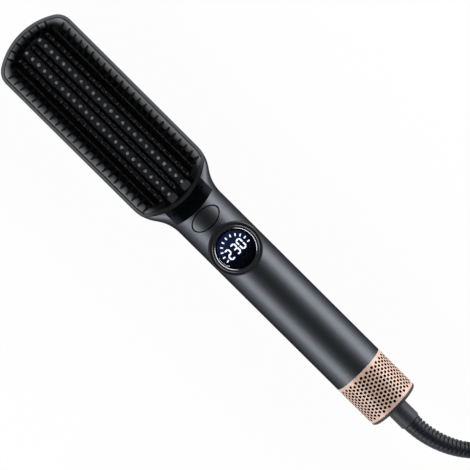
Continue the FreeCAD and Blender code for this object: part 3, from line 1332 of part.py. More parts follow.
# The plug lies on the tie, and its pins point away from the brush.
plug_x = f"({hank_x} + dims.hank_length / 2 - dims.plug_length / 2)"
plug_y = f"({hank_y} + dims.plug_offset)"
plug_block = doc.addObject("PartDesign::Body", "plug_block")
half_plug, half_neck = "dims.plug_width / 2", "dims.plug_neck_width / 2"
plug_sketch = sketch_on(plug_block, "plug_outline", "XY_Plane")
polygon(plug_sketch, [
    ("0", half_neck), ("0", f"-{half_neck}"), ("dims.plug_neck_length", f"-{half_neck}"),
    ("dims.plug_shoulder", f"-{half_plug}"), ("dims.plug_length", f"-{half_plug}"),
    ("dims.plug_length", half_plug), ("dims.plug_shoulder", half_plug), ("dims.plug_neck_length", half_neck),
])
pad(plug_block, "plug_pad", plug_sketch, "dims.plug_thickness")
place(plug_block, x=plug_x, y=plug_y, z=TIE_TOP)
PLUG_HEIGHT = f"({TIE_TOP} + dims.plug_thickness / 2)"
PLUG_FACE = f"({plug_x} + dims.plug_length)"
boot_span = (f"{plug_x} - dims.plug_boot_length", f"{plug_x} + dims.plug_neck_length / 2")
plug_boot = rod("plug_boot", "x", boot_span, "dims.plug_boot_radius", y=plug_y, z=PLUG_HEIGHT)
node(fuse("plug", [plug_block, plug_boot]), "plug_body")
node(group("plug_pin_pair", [
    rod(f"plug_pin_{k}", "x", (PLUG_FACE, f"{PLUG_FACE} + dims.plug_pin_length"), "dims.plug_pin_radius",
        y=f"{plug_y} {sign} dims.plug_pin_spacing / 2", z=PLUG_HEIGHT)
    for k, sign in enumerate("+-")
]), "plug_pins")


# ---------------------------------------------------------------- check and write

doc.recompute()
faults = [f"{o.Name} {o.State}" for o in doc.Objects if {"Invalid", "Error"} & set(o.State)]
for made in made_nodes:
    if made.Shape.isNull() or not made.Shape.isValid() or not made.Shape.Solids:
        faults.append(f"{made.Label}: bad shape")
if faults:
    raise RuntimeError("; ".join(faults))

os.makedirs("parts", exist_ok=True)
for made in made_nodes:
    made.Shape.exportStep(f"parts/{made.Label}.step")
    box_of = made.Shape.BoundBox
    print(f"{made.Label:26s} solids {len(made.Shape.Solids)} volume {made.Shape.Volume:9.1f}",
          f"x {box_of.XMin:7.1f} {box_of.XMax:7.1f} y {box_of.YMin:6.1f} {box_of.YMax:6.1f}",
          f"z {box_of.ZMin:5.2f} {box_of.ZMax:5.2f}")
print(f"{len(made_nodes)} sub-parts")
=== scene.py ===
import math

import bpy
import numpy as np
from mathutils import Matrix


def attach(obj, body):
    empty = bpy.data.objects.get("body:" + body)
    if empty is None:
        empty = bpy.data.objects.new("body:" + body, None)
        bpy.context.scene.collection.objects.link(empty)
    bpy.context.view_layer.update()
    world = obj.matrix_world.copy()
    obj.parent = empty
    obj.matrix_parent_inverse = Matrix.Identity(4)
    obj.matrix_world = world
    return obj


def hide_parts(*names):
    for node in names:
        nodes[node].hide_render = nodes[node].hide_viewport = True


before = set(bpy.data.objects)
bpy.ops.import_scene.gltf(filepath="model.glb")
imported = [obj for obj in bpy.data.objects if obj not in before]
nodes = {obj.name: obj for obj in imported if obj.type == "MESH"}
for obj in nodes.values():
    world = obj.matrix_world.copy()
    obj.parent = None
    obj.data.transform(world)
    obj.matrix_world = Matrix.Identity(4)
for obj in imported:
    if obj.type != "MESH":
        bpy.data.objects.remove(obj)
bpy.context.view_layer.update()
print("frame loaded:", len(nodes), "nodes")

# Shapes below are worked out in millimetres, in the frame's own directions: x runs from the head's
# tip to the cord, y across the brush and z up from the surface that it lies on.
mm = 0.001
brush = {
    "tip": -157.6,
    "axis": 16.6,  # height of the handle's middle line, and the handle's radius
    "dial": 171.85,  # this and the next are from the tip
    "sleeveStart": 271.9,
    "ringFace": 299.8,
    "bodyLength": 301.8,
}


# The next functions add nodes to a shader and return a socket.

def noiseOf(tree, place, size, detail=2.0):
    noise = tree.nodes.new("ShaderNodeTexNoise")
    noise.inputs["Scale"].default_value = 1 / (size * mm)
    noise.inputs["Detail"].default_value = detail
    tree.links.new(place, noise.inputs["Vector"])
    return noise.outputs["Fac"]


def axisOf(tree, place, letter):
    split = tree.nodes.new("ShaderNodeSeparateXYZ")
    tree.links.new(place, split.inputs[0])
    return split.outputs[letter]


def scaled(tree, colour, factor):
    product = tree.nodes.new("ShaderNodeVectorMath")
    product.operation = "SCALE"
    tree.links.new(colour, product.inputs[0])
    tree.links.new(factor, product.inputs["Scale"])
    return product.outputs[0]


def fadedAlong(tree, value, start, stop, first, last):
    # a factor that runs from its first to its last value as the given one goes from start to stop
    fade = tree.nodes.new("ShaderNodeMapRange")
    fade.interpolation_type = "SMOOTHSTEP"
    for name, number in (("From Min", start), ("From Max", stop), ("To Min", first), ("To Max", last)):
        fade.inputs[name].default_value = number
    tree.links.new(value, fade.inputs["Value"])
    return fade.outputs["Result"]


def paintedLightByHeight(tree, place, colour, heights, sloping):
    # paints light and shade: the colour times a factor that changes with height; "sloping" leaves level and
    # upright faces out
    low, high = heights[0][0], heights[-1][0]
    level = tree.nodes.new("ShaderNodeMapRange")
    level.inputs["From Min"].default_value = low * mm
    level.inputs["From Max"].default_value = high * mm
    tree.links.new(axisOf(tree, place, "Z"), level.inputs["Value"])
    ramp = tree.nodes.new("ShaderNodeValToRGB")  # holds a quarter of each factor
    stops = ramp.color_ramp.elements
    while len(stops) < len(heights):
        stops.new(0.5)
    for stop, (height, factor) in zip(stops, heights):
        stop.position = (height - low) / (high - low)
        stop.color = (factor / 4, factor / 4, factor / 4, 1)
    tree.links.new(level.outputs["Result"], ramp.inputs["Fac"])
    whole = tree.nodes.new("ShaderNodeVectorMath")
    whole.operation = "SCALE"
    whole.inputs["Scale"].default_value = 4.0
    tree.links.new(ramp.outputs["Color"], whole.inputs[0])
    shaded = tree.nodes.new("ShaderNodeMix")
    shaded.data_type = "RGBA"
    shaded.blend_type = "MULTIPLY"
    shaded.inputs["Factor"].default_value = 1.0
    tree.links.new(colour, shaded.inputs["A"])
    tree.links.new(whole.outputs[0], shaded.inputs["B"])
    if sloping:
        facing = tree.nodes.new("ShaderNodeNewGeometry").outputs["Normal"]
        middle = tree.nodes.new("ShaderNodeMath")  # 1 where the normal leans by 45 degrees or so
        middle.operation = "COMPARE"
        middle.inputs[1].default_value = 0.5
        middle.inputs[2].default_value = 0.35
        tree.links.new(axisOf(tree, facing, "Z"), middle.inputs[0])
        tree.links.new(middle.outputs[0], shaded.inputs["Factor"])
    return shaded.outputs["Result"]


def ovalReach(tree, place, middle, along, across):
    # how far out a place is on an oval: 1 on its edge
    moved = tree.nodes.new("ShaderNodeMapping")
    moved.vector_type = "TEXTURE"
    moved.inputs["Location"].default_value = (middle * mm, 0, 0)
    moved.inputs["Scale"].default_value = (along * mm, across * mm, 1000.0)
    tree.links.new(place, moved.inputs["Vector"])
    length = tree.nodes.new("ShaderNodeVectorMath")
    length.operation = "LENGTH"
    tree.links.new(moved.outputs[0], length.inputs[0])
    return length.outputs["Value"]


view = {
    "place": (-0.0555832, 0.0232141, 1.1484499),
    "turn": (-0.0519938, -0.0293250, 0.7833401),
    "lens": 151.5793,
}
camera = bpy.data.objects.new("camera", bpy.data.cameras.new("camera"))
camera.location = view["place"]
camera.rotation_euler = view["turn"]
camera.data.lens = view["lens"]
camera.data.sensor_width = 36
camera.data.clip_end = 30
bpy.context.collection.objects.link(camera)
bpy.context.scene.camera = camera
bpy.context.scene.view_settings.view_transform = "Standard"

studio = {
    "floorSize": 8.0,
    "floorDrop": -0.0003,
    "floorColour": (0.62, 0.62, 0.625, 1),
    "floorGlow": 0.96,  # share of the floor that shows as plain white
    "skyLow": 1.0,  # brightness at the horizon
    "skyHigh": 0.09,  # and overhead
    "skyFade": (0.1, 0.6),  # where it fades, as heights on a sphere of radius 1
    "strips": [  # place, turn about x in degrees, size along and up, watts
        {"name": "stripLeft", "place": (0.05, 0.78, 0.29), "tilt": -69, "size": (1.7, 0.56), "power": 22.0},
        {"name": "stripRight", "place": (0.05, -0.78, 0.40), "tilt": 63, "size": (1.7, 0.46), "power": 18.0},
    ],
}


def seenRays(tree):
    # 1 for rays from the camera, off metal and through glass, and 0 for the light that falls on things
    path = tree.nodes.new("ShaderNodeLightPath")
    seen = path.outputs["Is Camera Ray"]
    for kind in ("Is Glossy Ray", "Is Transmission Ray"):
        either = tree.nodes.new("ShaderNodeMath")
        either.operation = "MAXIMUM"
        tree.links.new(seen, either.inputs[0])
        tree.links.new(path.outputs[kind], either.inputs[1])
        seen = either.outputs[0]
    return seen


def makeFloor():
    half = studio["floorSize"] / 2
    drop = studio["floorDrop"]
    mesh = bpy.data.meshes.new("floor")
    corners = [(-half, -half, drop), (half, -half, drop), (half, half, drop), (-half, half, drop)]
    mesh.from_pydata(corners, [], [(0, 1, 2, 3)])
    floor = bpy.data.objects.new("floor", mesh)
    bpy.context.collection.objects.link(floor)
    paper = bpy.data.materials.new("paperFloor")
    paper.use_nodes = True
    tree = paper.node_tree
    tree.nodes.clear()
    matte = tree.nodes.new("ShaderNodeBsdfDiffuse")
    matte.inputs["Color"].default_value = studio["floorColour"]
    glow = tree.nodes.new("ShaderNodeEmission")
    share = tree.nodes.new("ShaderNodeMath")
    share.operation = "MULTIPLY"
    share.inputs[1].default_value = studio["floorGlow"]
    tree.links.new(seenRays(tree), share.inputs[0])
    mix = tree.nodes.new("ShaderNodeMixShader")
    tree.links.new(share.outputs[0], mix.inputs[0])
    tree.links.new(matte.outputs[0], mix.inputs[1])
    tree.links.new(glow.outputs[0], mix.inputs[2])
    end = tree.nodes.new("ShaderNodeOutputMaterial")
    tree.links.new(mix.outputs[0], end.inputs["Surface"])
    mesh.materials.append(paper)


def makeLight():
    for strip in studio["strips"]:
        lamp = bpy.data.lights.new(strip["name"], "AREA")
        lamp.shape = "RECTANGLE"
        lamp.size, lamp.size_y = strip["size"]
        lamp.energy = strip["power"]
        box = bpy.data.objects.new(strip["name"], lamp)
        box.location = strip["place"]
        box.rotation_euler = (math.radians(strip["tilt"]), 0, 0)
        bpy.context.collection.objects.link(box)
    world = bpy.data.worlds.new("studioSky")
    bpy.context.scene.world = world
    world.use_nodes = True
    tree = world.node_tree
    sky = tree.nodes["Background"]
    height = axisOf(tree, tree.nodes.new("ShaderNodeTexCoord").outputs["Generated"], "Z")
    strength = fadedAlong(tree, height, *studio["skyFade"], studio["skyLow"], studio["skyHigh"])
    tree.links.new(strength, sky.inputs["Strength"])


makeFloor()
makeLight()
print("camera, floor and light made")


# Every finish is a Principled shader whose colour, roughness and surface grain vary with noise on
# the object's own coordinates. Sizes are in millimetres. "heights" are (height, factor) pairs
# that paint light and shade by height, "fade" is (start, stop, last factor) along x, and "oval" is
# (middle x, half length, half width, reach where it starts, reach where it ends, last factor) of a
# painted shade or painted light from an oval's edge outwards. "glowAlong" is like "fade".
plainFinish = {"metal": 0.0, "specular": 0.5, "tint": 1.0, "clear": 0.0, "sloping": False, "toneSize": 10,
               "tone": 0.1, "roughSpread": 0.05, "grainSize": 0.5, "grainDepth": 0.005}
finishes = {
    "casingGunmetal": {"colour": (0.054, 0.058, 0.065), "rough": 0.46, "metal": 1.0, "tint": 0.06,
                       "grainSize": 0.35, "grainDepth": 0.006, "toneSize": 60, "tone": 0.05,
                       "roughSpread": 0.03},
    # painted light and shade on the tray's sloping walls: lighter towards the top, darker down into the tray,
    # and a dark band of painted shade just under the rim's top; the whole frame also darkens towards the neck
    # end
    "frameBlack": {"colour": (0.1, 0.103, 0.11), "rough": 0.38, "specular": 0.3, "grainSize": 0.6,
                   "grainDepth": 0.003, "toneSize": 30, "tone": 0.08, "roughSpread": 0.06, "sloping": True,
                   "heights": [(11.9, 0.35), (14.0, 1.4), (16.2, 2.4), (18.4, 3.7), (20.8, 3.9), (21.1, 0.2),
                               (22.2, 0.1)],
                   "fade": (-40.0, -28.0, 0.15)},
    "bristleBlack": {"colour": (0.004, 0.004, 0.0046), "rough": 0.36, "specular": 0.25, "grainSize": 0.4,
                     "grainDepth": 0.005, "toneSize": 6, "tone": 0.25, "roughSpread": 0.08},
    # painted light and shade: the teeth's rounded tops carry a painted highlight and the plate is darker
    # lower down; the ridges are also 2.2 times brighter past x = -32 mm, where they end beyond the last tooth
    "plateCeramic": {"colour": (0.3, 0.315, 0.345), "rough": 0.42, "grainSize": 0.3, "grainDepth": 0.004,
                     "toneSize": 12, "tone": 0.12, "roughSpread": 0.06,
                     "heights": [(13.9, 0.14), (14.1, 0.14), (14.6, 0.08), (16.7, 0.2), (17.3, 0.8),
                                 (17.6, 1.3)],
                     "fade": (-33.5, -32.0, 2.2)},
    # painted light: the black panel grows up to nine times lighter towards its sides, where it meets the
    # casing
    "outletBlack": {"colour": (0.0014, 0.0016, 0.002), "rough": 0.7, "specular": 0.0, "grainSize": 0.8,
                    "grainDepth": 0.002, "toneSize": 20, "tone": 0.1, "roughSpread": 0.05,
                    "oval": (-20.0, 1000.0, 14.0, 0.6, 1.0, 9.0)},
    # painted shade: a dark ring just inside the button's edge darkens the gap round it
    "buttonBlack": {"colour": (0.05, 0.054, 0.06), "rough": 0.42, "metal": 1.0, "tint": 0.06,
                    "grainSize": 0.3, "grainDepth": 0.003, "toneSize": 20, "tone": 0.06, "roughSpread": 0.04,
                    "oval": (-9.6, 5.5, 9.4, 0.93, 0.95, 0.03)},
    "seatBlack": {"colour": (0.012, 0.013, 0.016), "rough": 0.34, "specular": 0.22, "grainSize": 0.8,
                  "grainDepth": 0.002, "toneSize": 15, "tone": 0.1, "roughSpread": 0.05},
    "dialGloss": {"colour": (0.014, 0.015, 0.018), "rough": 0.13, "grainSize": 0.5, "grainDepth": 0.001,
                  "toneSize": 10, "tone": 0.08, "roughSpread": 0.04},
    "dialEdge": {"colour": (0.2, 0.205, 0.215), "rough": 0.2, "metal": 1.0, "toneSize": 6, "tone": 0.08},
    "displayUnit": {"colour": (0.006, 0.009, 0.03), "rough": 0.3, "grainSize": 0.6, "grainDepth": 0.001,
                    "toneSize": 8, "tone": 0.1, "roughSpread": 0.05},
    # painted light: the dark face glows faintly blue, most on the head's side and fading towards the tail
    "displayNight": {"colour": (0.003, 0.004, 0.007), "rough": 0.5, "specular": 0.1, "toneSize": 8,
                     "tone": 0.1, "glow": (0.008, 0.014, 0.052), "glowAlong": (5.0, 21.0, 0.06)},
    "displayBorder": {"colour": (0.004, 0.0045, 0.006), "rough": 0.3, "specular": 0.2, "toneSize": 8,
                      "tone": 0.1},
    "displayLit": {"colour": (0.5, 0.52, 0.56), "rough": 0.5, "toneSize": 3, "tone": 0.05,
                   "glow": (1.0, 1.05, 1.15)},
    "lensGlass": {"colour": (0.93, 0.95, 0.98), "rough": 0.03, "toneSize": 10, "tone": 0.02,
                  "roughSpread": 0.01, "clear": 1.0},
    "sleeveRoseGold": {"colour": (0.41, 0.282, 0.226), "rough": 0.46, "metal": 0.12, "grainSize": 0.4,
                       "grainDepth": 0.003, "toneSize": 25, "tone": 0.05, "roughSpread": 0.05},
    # painted shade: the sleeve's inner face and its hole walls are near black, so the holes look dark
    "sleevePaintedShade": {"colour": (0.012, 0.006, 0.004), "rough": 0.8, "specular": 0.02, "toneSize": 4,
                     "tone": 0.2},
    "tailBlack": {"colour": (0.02, 0.017, 0.017), "rough": 0.45, "specular": 0.2, "grainSize": 0.6,
                  "grainDepth": 0.003, "toneSize": 15, "tone": 0.1, "roughSpread": 0.06},
    "collarBlack": {"colour": (0.015, 0.0165, 0.023), "rough": 0.5, "specular": 0.24, "grainSize": 0.3,
                    "grainDepth": 0.006, "toneSize": 12, "tone": 0.08, "roughSpread": 0.06},
    "cableBlack": {"colour": (0.006, 0.0075, 0.012), "rough": 0.42, "specular": 0.2, "grainSize": 0.4,
                   "grainDepth": 0.006, "toneSize": 10, "tone": 0.12, "roughSpread": 0.05},
    "tieBlack": {"colour": (0.025, 0.025, 0.028), "rough": 0.6, "grainSize": 0.5, "grainDepth": 0.03,
                 "toneSize": 4, "tone": 0.2, "roughSpread": 0.08},
    "plugBlack": {"colour": (0.02, 0.021, 0.023), "rough": 0.4, "grainSize": 0.3, "grainDepth": 0.008,
                  "toneSize": 14, "tone": 0.12, "roughSpread": 0.06},
    "heaterWhite": {"colour": (0.75, 0.73, 0.7), "rough": 0.6, "toneSize": 8, "tone": 0.06},
    "filmAmber": {"colour": (0.6, 0.35, 0.08), "rough": 0.3, "toneSize": 10, "tone": 0.1},
    "innerAluminium": {"colour": (0.7, 0.71, 0.73), "rough": 0.35, "metal": 1.0, "toneSize": 12,
                       "tone": 0.06},
    "feltGrey": {"colour": (0.4, 0.4, 0.4), "rough": 0.95, "grainSize": 0.25, "grainDepth": 0.08,
                 "toneSize": 2, "tone": 0.2},
    "siliconeGrey": {"colour": (0.45, 0.45, 0.46), "rough": 0.5, "toneSize": 10, "tone": 0.08},
    "tankClear": {"colour": (0.7, 0.76, 0.8), "rough": 0.25, "toneSize": 15, "tone": 0.05},
    "pumpGrey": {"colour": (0.3, 0.3, 0.32), "rough": 0.5, "toneSize": 8, "tone": 0.08},
    "boardGreen": {"colour": (0.03, 0.2, 0.09), "rough": 0.4, "grainSize": 0.8, "grainDepth": 0.02,
                   "toneSize": 3, "tone": 0.25},
    "componentBlack": {"colour": (0.04, 0.04, 0.042), "rough": 0.5, "toneSize": 5, "tone": 0.15},
    "wireRed": {"colour": (0.5, 0.05, 0.04), "rough": 0.45, "toneSize": 8, "tone": 0.1},
    "contactBrass": {"colour": (0.78, 0.6, 0.3), "rough": 0.3, "metal": 1.0, "toneSize": 5, "tone": 0.1},
    "screwSteel": {"colour": (0.6, 0.6, 0.62), "rough": 0.28, "metal": 1.0, "grainSize": 0.3,
                   "grainDepth": 0.004, "toneSize": 3, "tone": 0.1},
    "coreBlack": {"colour": (0.02, 0.014, 0.011), "rough": 0.6, "toneSize": 8, "tone": 0.15},
    "magnetGrey": {"colour": (0.25, 0.25, 0.26), "rough": 0.5, "metal": 0.8, "toneSize": 5, "tone": 0.1},
}


def makeFinish(name):
    look = {**plainFinish, **finishes[name]}
    made = bpy.data.materials.new(name)
    made.use_nodes = True
    tree = made.node_tree
    shader = tree.nodes["Principled BSDF"]
    place = tree.nodes.new("ShaderNodeTexCoord").outputs["Object"]
    tone = tree.nodes.new("ShaderNodeMix")
    tone.data_type = "RGBA"
    for end, share in (("A", 1 - look["tone"]), ("B", 1 + look["tone"])):
        tone.inputs[end].default_value = (*[c * share for c in look["colour"]], 1)
    tree.links.new(noiseOf(tree, place, look["toneSize"]), tone.inputs["Factor"])
    colour = tone.outputs["Result"]
    if "heights" in look:
        colour = paintedLightByHeight(tree, place, colour, look["heights"], look["sloping"])
    if "fade" in look:
        start, stop, last = look["fade"]
        factor = fadedAlong(tree, axisOf(tree, place, "X"), start * mm, stop * mm, 1.0, last)
        colour = scaled(tree, colour, factor)
    # paints the shade round the button's edge and the light on the outlet's sides
    if "oval" in look:  # another shade from an oval's edge outwards
        middle, along, across, start, stop, last = look["oval"]
        reach = ovalReach(tree, place, middle, along, across)
        colour = scaled(tree, colour, fadedAlong(tree, reach, start, stop, 1.0, last))
    tree.links.new(colour, shader.inputs["Base Color"])
    worn = tree.nodes.new("ShaderNodeMapRange")
    worn.inputs["To Min"].default_value = look["rough"] - look["roughSpread"]
    worn.inputs["To Max"].default_value = look["rough"] + look["roughSpread"]
    tree.links.new(noiseOf(tree, place, look["toneSize"] / 3, 3.0), worn.inputs["Value"])
    tree.links.new(worn.outputs["Result"], shader.inputs["Roughness"])
    bump = tree.nodes.new("ShaderNodeBump")
    bump.inputs["Distance"].default_value = look["grainDepth"] * mm
    tree.links.new(noiseOf(tree, place, look["grainSize"]), bump.inputs["Height"])
    tree.links.new(bump.outputs["Normal"], shader.inputs["Normal"])
    shader.inputs["Metallic"].default_value = look["metal"]
    shader.inputs["Specular IOR Level"].default_value = look["specular"]
    shader.inputs["Specular Tint"].default_value = (*[look["tint"]] * 3, 1)
    shader.inputs["Transmission Weight"].default_value = look["clear"]
    if "glow" in look:
        shader.inputs["Emission Color"].default_value = (*look["glow"], 1)
        shader.inputs["Emission Strength"].default_value = 1.0
    if "glowAlong" in look:
        start, stop, last = look["glowAlong"]
        factor = fadedAlong(tree, axisOf(tree, place, "X"), start * mm, stop * mm, 1.0, last)
        tree.links.new(factor, shader.inputs["Emission Strength"])
    return made


finishOf = {name: makeFinish(name) for name in finishes}

nodeFinishes = {
    "casingGunmetal": ["rear_shell", "front_shell"],
    "frameBlack": ["comb_frame"],
    "bristleBlack": [name for name in nodes if name.startswith("bristle_row")],
    "plateCeramic": ["heating_plate"],
    "outletBlack": ["steam_outlet"],
    "buttonBlack": ["power_button"],
    "seatBlack": ["dial_seat", "display_housing"],
    "dialGloss": ["dial_ring"],
    "displayUnit": ["display_module"],
    "lensGlass": ["display_lens"],
    "sleeveRoseGold": ["perforated_sleeve"],
    "tailBlack": ["tail_ring"],
    "collarBlack": ["swivel_collar"],
    "cableBlack": ["strain_relief", "cord", "cord_hank"],
    "tieBlack": ["cord_tie"],
    "plugBlack": ["plug_body"],
    "heaterWhite": ["heater_elements"],
    "filmAmber": ["insulating_film"],
    "innerAluminium": ["clamp_plate", "steam_chamber"],
    "feltGrey": ["heat_shield_pad"],
    "siliconeGrey": ["steam_gasket", "water_tubes", "filler_plug", "button_return_dome"],
    "tankClear": ["water_tank"],
    "pumpGrey": ["water_pump"],
    "boardGreen": ["control_board", "main_board"],
    "componentBlack": ["temperature_sensor", "button_switch", "power_components"],
    "wireRed": ["heater_wires", "mains_wires"],
    "contactBrass": ["thermal_fuse", "slip_rings", "contact_fingers"],
    "screwSteel": ["casing_screws", "board_screws", "plug_pins"],
    "coreBlack": ["steam_manifold", "tail_core", "contact_carrier"],
    "magnetGrey": ["dial_magnet"],
}
for finishName, names in nodeFinishes.items():
    for name in names:
        for materialSlot in nodes[name].material_slots:
            materialSlot.material = finishOf[finishName]
print("finishes made:", len(finishOf))


sharpAngle = 38  # degrees; edges that turn more than this stay crisp


def makePiece(name, points, faces, look):
    # points in millimetres; faces are arrays with one face to a row
    vertices = np.concatenate([np.asarray(p, dtype=float).reshape(-1, 3) for p in points]) * mm
    loops = np.concatenate([group.ravel() for group in faces]).astype(np.int32)
    sizes = np.concatenate([np.full(len(group), group.shape[1], dtype=np.int32) for group in faces])
    mesh = bpy.data.meshes.new(name)
    mesh.vertices.add(len(vertices))
    mesh.vertices.foreach_set("co", vertices.ravel())
    mesh.loops.add(len(loops))
    mesh.loops.foreach_set("vertex_index", loops)
    mesh.polygons.add(len(sizes))
    mesh.polygons.foreach_set("loop_start", (np.cumsum(sizes) - sizes).astype(np.int32))
    mesh.update(calc_edges=True)
    mesh.polygons.foreach_set("use_smooth", [True] * len(sizes))
    mesh.set_sharp_from_angle(angle=math.radians(sharpAngle))
    mesh.materials.append(finishOf[look])
    piece = bpy.data.objects.new(name, mesh)
    bpy.context.collection.objects.link(piece)
    return piece


def gridFaces(rows, columns, start=0, closeRows=False, closeColumns=True):
    # quads of a grid whose columns run anticlockwise about its rows' direction, facing outwards
    i = np.arange(rows if closeRows else rows - 1)[:, None]
    j = np.arange(columns if closeColumns else columns - 1)[None, :]
    row, nextRow, nextColumn = i * columns, (i + 1) % rows * columns, (j + 1) % columns
    corners = [row + j, row + nextColumn, nextRow + nextColumn, nextRow + j]
    return np.stack(np.broadcast_arrays(*corners), axis=-1).reshape(-1, 4) + start


def crossed(first, second):
    # every first value with every second one, as pairs in rows and columns
    return np.stack(np.meshgrid(first, second, indexing="ij"), -1)


def endCaps(rows, columns):
    # a grid's first row, turned to face outwards, and its last row, as one face each
    column = np.arange(columns)
    return np.stack([columns - 1 - column, (rows - 1) * columns + column])


def setLooks(piece, *others):
    # other finishes for runs of faces: each run starts at its first face
    for start, look in others:
        piece.data.materials.append(finishOf[look])
    index = np.zeros(len(piece.data.polygons), dtype=np.int32)
    for k, (start, look) in enumerate(others, 1):
        index[start:] = k
    piece.data.polygons.foreach_set("material_index", index)


def turnedPoints(profile, around, upright=False):
    # a profile of (distance from the tip, radius) turned about the brush's axis, or of (height, radius)
    # about the dial's; it is walked so that the solid lies on its left when it is seen with the
    # distance to the right and the radius up
    profile = np.asarray(profile, dtype=float)
    angle = np.arange(around) * 2 * math.pi / around
    distance = profile[:, :1] + 0 * angle
    first, second = profile[:, 1:] * np.cos(angle), profile[:, 1:] * np.sin(angle)
    if upright:
        return np.stack([brush["tip"] + brush["dial"] + first, second, distance], -1)
    return np.stack([brush["tip"] + distance, first, brush["axis"] + second], -1)


def cornerArc(centre, radius, start, stop, count):
    # points on an arc, from one angle in degrees to another
    turn = np.radians(np.linspace(start, stop, count))
    return (np.array(centre) + radius * np.column_stack([np.cos(turn), np.sin(turn)])).tolist()


def roundedRectangle(low, high, radius, count, first=0):
    # the points on its four corner arcs, as the arcs' centres and outward directions, anticlockwise
    # from the arc that starts at the first angle
    quarters = first + np.arange(0, 360, 90)
    arcs = np.radians(quarters[:, None] + np.linspace(0, 90, count))
    diagonals = np.radians(quarters + 45)
    sides = np.sign(np.stack([np.cos(diagonals), np.sin(diagonals)], -1))
    low, high = np.array(low), np.array(high)
    centres = (low + high) / 2 + sides * ((high - low) / 2 - radius)
    return np.repeat(centres, count, axis=0), np.stack([np.cos(arcs), np.sin(arcs)], -1).reshape(-1, 2)


cable = {
    "diameter": 6.4,
    "route": [  # the free cord's points, from the strain relief to the hank
        (196.167, 13.350, 12.262), (206.892, 21.909, 9.481), (221.467, 26.650, 4.9),
        (237.367, 25.850, 3.4), (251.767, 26.35, 3.4), (265.167, 25.60, 3.35),
    ],
    "hankMiddle": 321.15,
    "foldFromMiddle": 43.2,
    "columns": {"outer": 25.6, "inner": 19.2},
    "layers": (3.3, 9.7, 16.1),
    "runPoints": (-31, -20, -13.5, 13.5, 20, 31),  # from the hank's middle
    "tieLift": 1.7,  # of a run's two middle points
    "climb": (13, 20),  # where a run starts to climb, and over what length
    "foldPoints": 7,
    "lastRise": (6.6, 6.8),  # above the top layer, at the last run's end and the last fold's start
    "plugEntry": (290.85, 17.95, 29.65),
    "length": 1.65,
}


def hankRun(towards, y, low, high=None):
    # one straight run of the hank, lifted where the tie's band passes under it; with a second
    # height it climbs to the layer above near its end
    sign = 1 if towards == "far" else -1
    climbStart, climbLength = cable["climb"]
    points = []
    for along in cable["runPoints"]:
        lift = cable["tieLift"] if abs(along) < cable["runPoints"][-2] else 0
        climb = 0 if high is None else (high - low) * min(max((along - climbStart) / climbLength, 0), 1)
        points.append((cable["hankMiddle"] + sign * along, y, low + climb + lift))
    return points


def hankFold(end, start, stop, low, high=None):
    # a half turn round the hank's near or far end, from one column to another
    sign = 1 if end == "far" else -1
    side = 1 if start > 0 else -1
    count = cable["foldPoints"]
    points = []
    for k in range(count):
        share = (k + 0.5) / count
        turn = math.pi * share
        radius = (abs(start) * (1 - share) + abs(stop) * share) / math.cos(math.pi / 2 / count)
        rise = 0 if high is None else (high - low) * share
        points.append((
            cable["hankMiddle"] + sign * (cable["foldFromMiddle"] + radius * math.sin(turn)),
            side * radius * math.cos(turn), low + rise,
        ))
    return points


def cordPoints():
    # the free cord, then three layers of runs and folds, and the way from the last fold into the plug
    outer, inner = cable["columns"]["outer"], cable["columns"]["inner"]
    first, second, third = cable["layers"]
    points = list(cable["route"])
    points += hankRun("far", outer, first) + hankFold("far", outer, -outer, first)
    points += hankRun("near", -outer, first) + hankFold("near", -outer, inner, first)
    points += hankRun("far", inner, first) + hankFold("far", inner, -inner, first)
    points += hankRun("near", -inner, first, second) + hankFold("near", -inner, inner, second)
    points += hankRun("far", inner, second) + hankFold("far", inner, -outer, second)
    points += hankRun("near", -outer, second) + hankFold("near", -outer, outer, second)
    points += hankRun("far", outer, second, third) + hankFold("far", outer, -outer, third)
    points += hankRun("near", -outer, third) + hankFold("near", -outer, inner, third)
    points += hankRun("far", inner, third) + hankFold("far", inner, -inner, third)
    x, y, z = cable["plugEntry"]
    runRise, foldRise = cable["lastRise"]
    points += hankRun("near", -inner, third, third + runRise)
    points += hankFold("near", -inner - 0.6, y, third + foldRise, z)
    points += [(x - 9, y, z), (x, y, z), (x + 4, y, z)]
    return points


def makeCord():
    # a round section carried along a smooth curve whose control points are the places above
    places = np.array(cordPoints()) * mm
    line = bpy.data.curves.new("cord", "CURVE")
    line.dimensions = "3D"
    line.bevel_depth = cable["diameter"] / 2 * mm
    line.bevel_resolution = 7
    line.resolution_u = 8
    line.use_fill_caps = True
    spline = line.splines.new("NURBS")
    spline.points.add(len(places) - 1)
    spline.points.foreach_set("co", np.column_stack([places, np.ones(len(places))]).ravel())
    spline.order_u = 3
    spline.use_endpoint_u = True
    line.materials.append(finishOf["cableBlack"])
    piece = bpy.data.objects.new("mainsCord", line)
    bpy.context.collection.objects.link(piece)
    return piece


tie = {"half": 30.35, "low": 0.02, "high": 22.8, "corner": 4.6, "thick": 1.5, "width": 13.9, "edge": 0.35}


def makeTie():
    # a flat band round the hank: each point lies on a rounded rectangle, moved inwards by its depth in
    # the band's section, which is a flat rounded rectangle too
    low, high, half = (-tie["half"], tie["low"]), (tie["half"], tie["high"]), tie["width"] / 2
    centre, outward = roundedRectangle(low, high, tie["corner"], 10)
    middle, direction = roundedRectangle((-half, 0), (half, tie["thick"]), tie["edge"], 4, first=180)
    along, depth = (middle + tie["edge"] * direction)[::-1].T
    across = centre[:, None] + (tie["corner"] - depth)[:, None] * outward[:, None]
    x = np.broadcast_to(cable["hankMiddle"] + along, across.shape[:2])
    points = np.concatenate([x[..., None], across], -1)
    return makePiece("tieBand", [points], [gridFaces(*points.shape[:2], closeRows=True)], "tieBlack")


